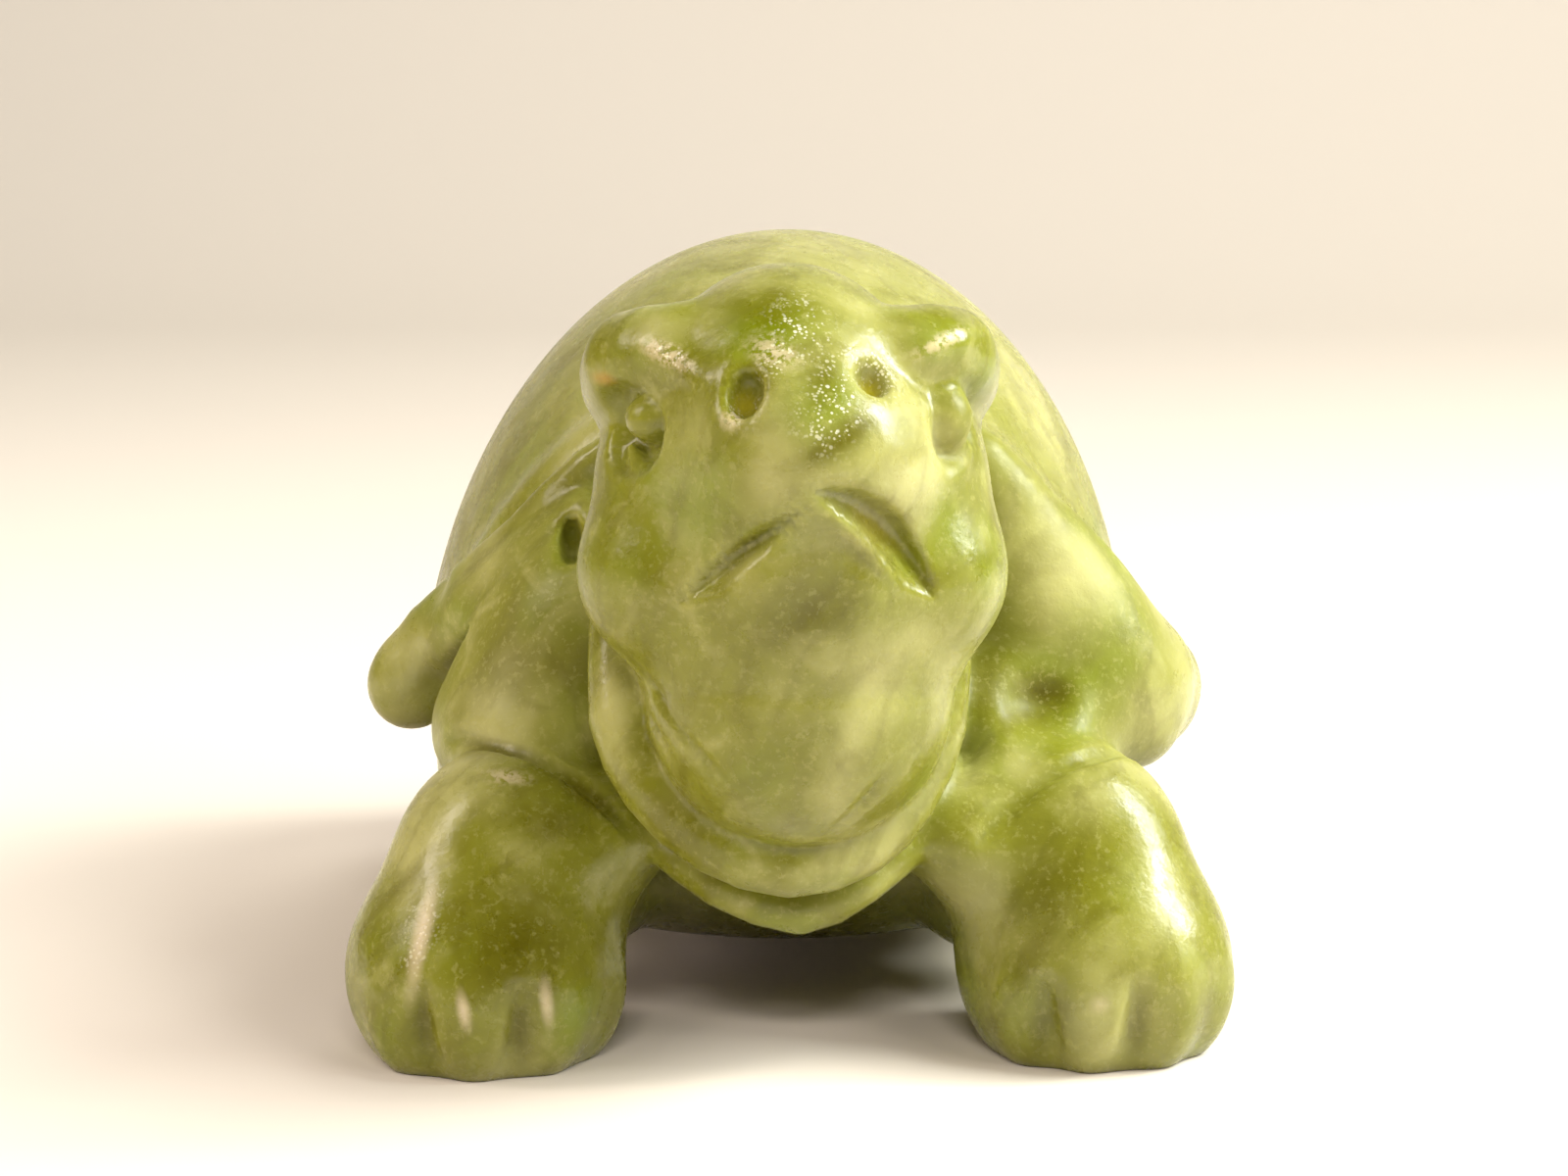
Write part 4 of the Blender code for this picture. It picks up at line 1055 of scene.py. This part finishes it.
def serpentine():
    """Polished, slightly waxy stone: light passes a few millimetres into it."""
    material = bpy.data.materials.new("Serpentine")
    material.use_nodes = True
    tree = material.node_tree
    shader = tree.nodes["Principled BSDF"]
    place = tree.nodes.new("ShaderNodeTexCoord").outputs["Object"]
    placed = scale_node(tree, place, 1.0 / UNIT)
    point = vector_node(tree, "SUBTRACT", placed, CENTRE_SHIFT)
    noises = noise_vector_node(tree, point, RAGGED_SCALE, RAGGED_DETAIL)
    push = vector_node(tree, "SUBTRACT", noises, NOISE_MIDDLE)
    groups = {turned: patch_group(turned) for turned in (False, True)}
    spots = partial(patches, tree, groups, point, push)
    vein = vein_group()

    chipped = spots(CHIPPED_PATCHES)
    coarse_chip = band_node(tree, cell_node(tree, point, COARSE_CHIPS), 0.3, 0.18)
    fine_chip = band_node(tree, cell_node(tree, point, FINE_CHIPS), 0.4, 0.24)
    few = band_node(tree, noise_node(tree, point, 0.9, 2.0), 0.40, 0.52)
    chips_and_glints = math_node(tree, "MAXIMUM", product(tree, coarse_chip, few), product(tree, fine_chip, 0.9, few))
    sparse = band_node(tree, noise_node(tree, point, 0.35, 2.0), 0.6, 0.72)
    lone_chip = band_node(tree, cell_node(tree, point, STRAY_CHIPS), 0.13, 0.06)
    stray = product(tree, lone_chip, sparse, STRAY_STRENGTH)
    chips_and_glints = math_node(tree, "MAXIMUM", product(tree, chips_and_glints, chipped), stray)
    plug(tree, stone_colour(tree, point, spots, vein, chips_and_glints), shader.inputs["Base Color"])

    wear = noise_node(tree, point, 0.35, 4.0, 0.6)
    rough = band_node(tree, wear, 0.3, 0.7, 0.22, 0.32)
    polished = product(tree, chipped, 0.1)
    dull = product(tree, spots(DULL_PATCHES), 0.36)
    rough = math_node(tree, "ADD", rough, dull)
    plug(tree, math_node(tree, "SUBTRACT", rough, polished), shader.inputs["Roughness"])

    hair = vector_node(tree, "MULTIPLY", turn_back_node(tree, point, SCRATCH_TURN), SCRATCH_STRETCH)
    scratches = band_node(tree, noise_node(tree, hair, 0.9, 2.0), 0.62, 0.74)
    height = math_node(tree, "MULTIPLY", noise_node(tree, point, 0.5, 3.0, 0.55), 0.9)
    height = math_node(tree, "ADD", height, product(tree, noise_node(tree, point, 2.6, 3.0, 0.6), 0.1))
    height = math_node(tree, "SUBTRACT", height, product(tree, scratches, 0.05))
    orange_peel = product(tree, noise_node(tree, point, 2.2, 4.0, 0.7), chipped, 0.7)
    height = math_node(tree, "ADD", height, orange_peel)
    height = math_node(tree, "SUBTRACT", height, product(tree, chips_and_glints, 0.6))
    bump = tree.nodes.new("ShaderNodeBump")
    bump.inputs["Strength"].default_value = 1.0
    bump.inputs["Distance"].default_value = BUMP_DEPTH
    plug(tree, height, bump.inputs["Height"])
    tree.links.new(bump.outputs["Normal"], shader.inputs["Normal"])

    for name, value in POLISHED_STONE.items():
        shader.inputs[name].default_value = value
    return material


def plain_material(name, colour, roughness):
    material = bpy.data.materials.new(name)
    material.use_nodes = True
    shader = material.node_tree.nodes["Principled BSDF"]
    shader.inputs["Base Color"].default_value = colour
    shader.inputs["Roughness"].default_value = roughness
    shader.inputs["Specular IOR Level"].default_value = 0.1
    return material


STAGE_HALF_WIDTH = 1.6
STAGE_FRONT = -1.2
STAGE_BACK = 0.55
SWEEP_RADIUS = 0.35
STAGE_HEIGHT = 1.5
SWEEP_STEPS = 16


def backdrop_sweep():
    """A pale floor that curves up into a backdrop."""
    profile = [(STAGE_FRONT, 0.0)]
    for step in range(SWEEP_STEPS + 1):
        angle = math.pi / 2 * step / SWEEP_STEPS
        back = STAGE_BACK + SWEEP_RADIUS * math.sin(angle)
        profile.append((back, SWEEP_RADIUS * (1.0 - math.cos(angle))))
    profile.append((STAGE_BACK + SWEEP_RADIUS, STAGE_HEIGHT))
    points = [(side * STAGE_HALF_WIDTH, y, z) for y, z in profile for side in (LEFT, RIGHT)]
    faces = [(2 * row, 2 * row + 1, 2 * row + 3, 2 * row + 2) for row in range(len(profile) - 1)]
    mesh = bpy.data.meshes.new("backdrop_sweep")
    mesh.from_pydata(points, [], faces)
    mesh.shade_smooth()
    mesh.materials.append(plain_material("Pale backdrop", shade(214, 206, 192), 0.9))
    sweep = bpy.data.objects.new("backdrop_sweep", mesh)
    bpy.context.scene.collection.objects.link(sweep)
    return sweep


def area_light(name, place, aim, size, power, colour, reflected):
    light = bpy.data.lights.new(name, "AREA")
    light.shape = "RECTANGLE"
    light.size, light.size_y = size
    light.energy = power
    light.color = colour
    lamp = bpy.data.objects.new(name, light)
    lamp.location = place
    lamp.visible_glossy = reflected
    lamp.rotation_euler = (Vector(aim) - Vector(place)).to_track_quat("-Z", "Y").to_euler()
    bpy.context.scene.collection.objects.link(lamp)


AIM = (0.0, -0.02, 0.035)
LIGHTS = (
    ("window_right", (0.39, 0.014, 0.29), AIM, (0.12, 0.26), 2.7, (0.97, 1.0, 0.97), True),
    ("sky_right", (0.34, -0.14, 0.36), AIM, (0.2, 0.3), 2.7, (0.96, 1.0, 0.98), False),
    ("window_left", (-0.52, -0.093, 0.417), AIM, (0.12, 0.30), 1.3, (1.0, 0.87, 0.80), True),
    ("fill_left", (-0.50, -0.08, 0.10), AIM, (0.4, 0.16), 1.5, (1.0, 0.84, 0.82), False),
    ("overhead", (0.15, 0.2, 0.8), AIM, (0.6, 0.6), 1.8, (1.0, 0.95, 0.92), False),
    ("front_left", (-0.55, -0.62, 0.52), AIM, (0.35, 0.16), 1.5, (1.0, 0.90, 0.88), False),
    ("front_middle", (0.0, -0.85, 0.55), AIM, (0.3, 0.08), 4.2, (1.0, 0.93, 0.91), False),
    ("front_right", (0.55, -0.62, 0.52), AIM, (0.35, 0.16), 2.6, (1.0, 0.92, 0.90), False),
    ("backdrop_wash", (0.55, 0.35, 0.85), (0.35, 0.8, 0.25), (0.6, 0.4), 5.8, (1.0, 0.99, 0.97), False),
)
WORLD_COLOUR = (1.0, 0.96, 0.90, 1.0)
WORLD_STRENGTH = 0.015


def studio():
    for row in LIGHTS:
        area_light(*row)
    world = bpy.data.worlds.new("Studio")
    world.use_nodes = True
    background = world.node_tree.nodes["Background"]
    background.inputs["Color"].default_value = WORLD_COLOUR
    background.inputs["Strength"].default_value = WORLD_STRENGTH
    bpy.context.scene.world = world
    bpy.context.scene.view_settings.view_transform = "Standard"


# The camera of the photograph: close in front, a little above the head's height
CAMERA_AIM = (-0.00035, -0.03965, 0.039)
CAMERA_DISTANCE = 0.357
CAMERA_RISE = math.radians(9.0)
SENSOR_WIDTH = 36.0
FRAME_WIDTH = 1600
FOCAL_PIXELS = 4677


def photo_camera():
    lens = bpy.data.cameras.new("photo_camera")
    lens.sensor_width = SENSOR_WIDTH
    lens.lens = SENSOR_WIDTH * FOCAL_PIXELS / FRAME_WIDTH
    lens.clip_start = 0.01
    camera = bpy.data.objects.new("photo_camera", lens)
    back = Vector((0.0, -math.cos(CAMERA_RISE), math.sin(CAMERA_RISE)))
    camera.location = Vector(CAMERA_AIM) + back * CAMERA_DISTANCE
    camera.rotation_euler = (-back).to_track_quat("-Z", "Y").to_euler()
    bpy.context.scene.collection.objects.link(camera)
    bpy.context.scene.camera = camera


turtle = carved_turtle(serpentine())
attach(turtle, BODY)
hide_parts(NODE)
backdrop_sweep()
studio()
photo_camera()
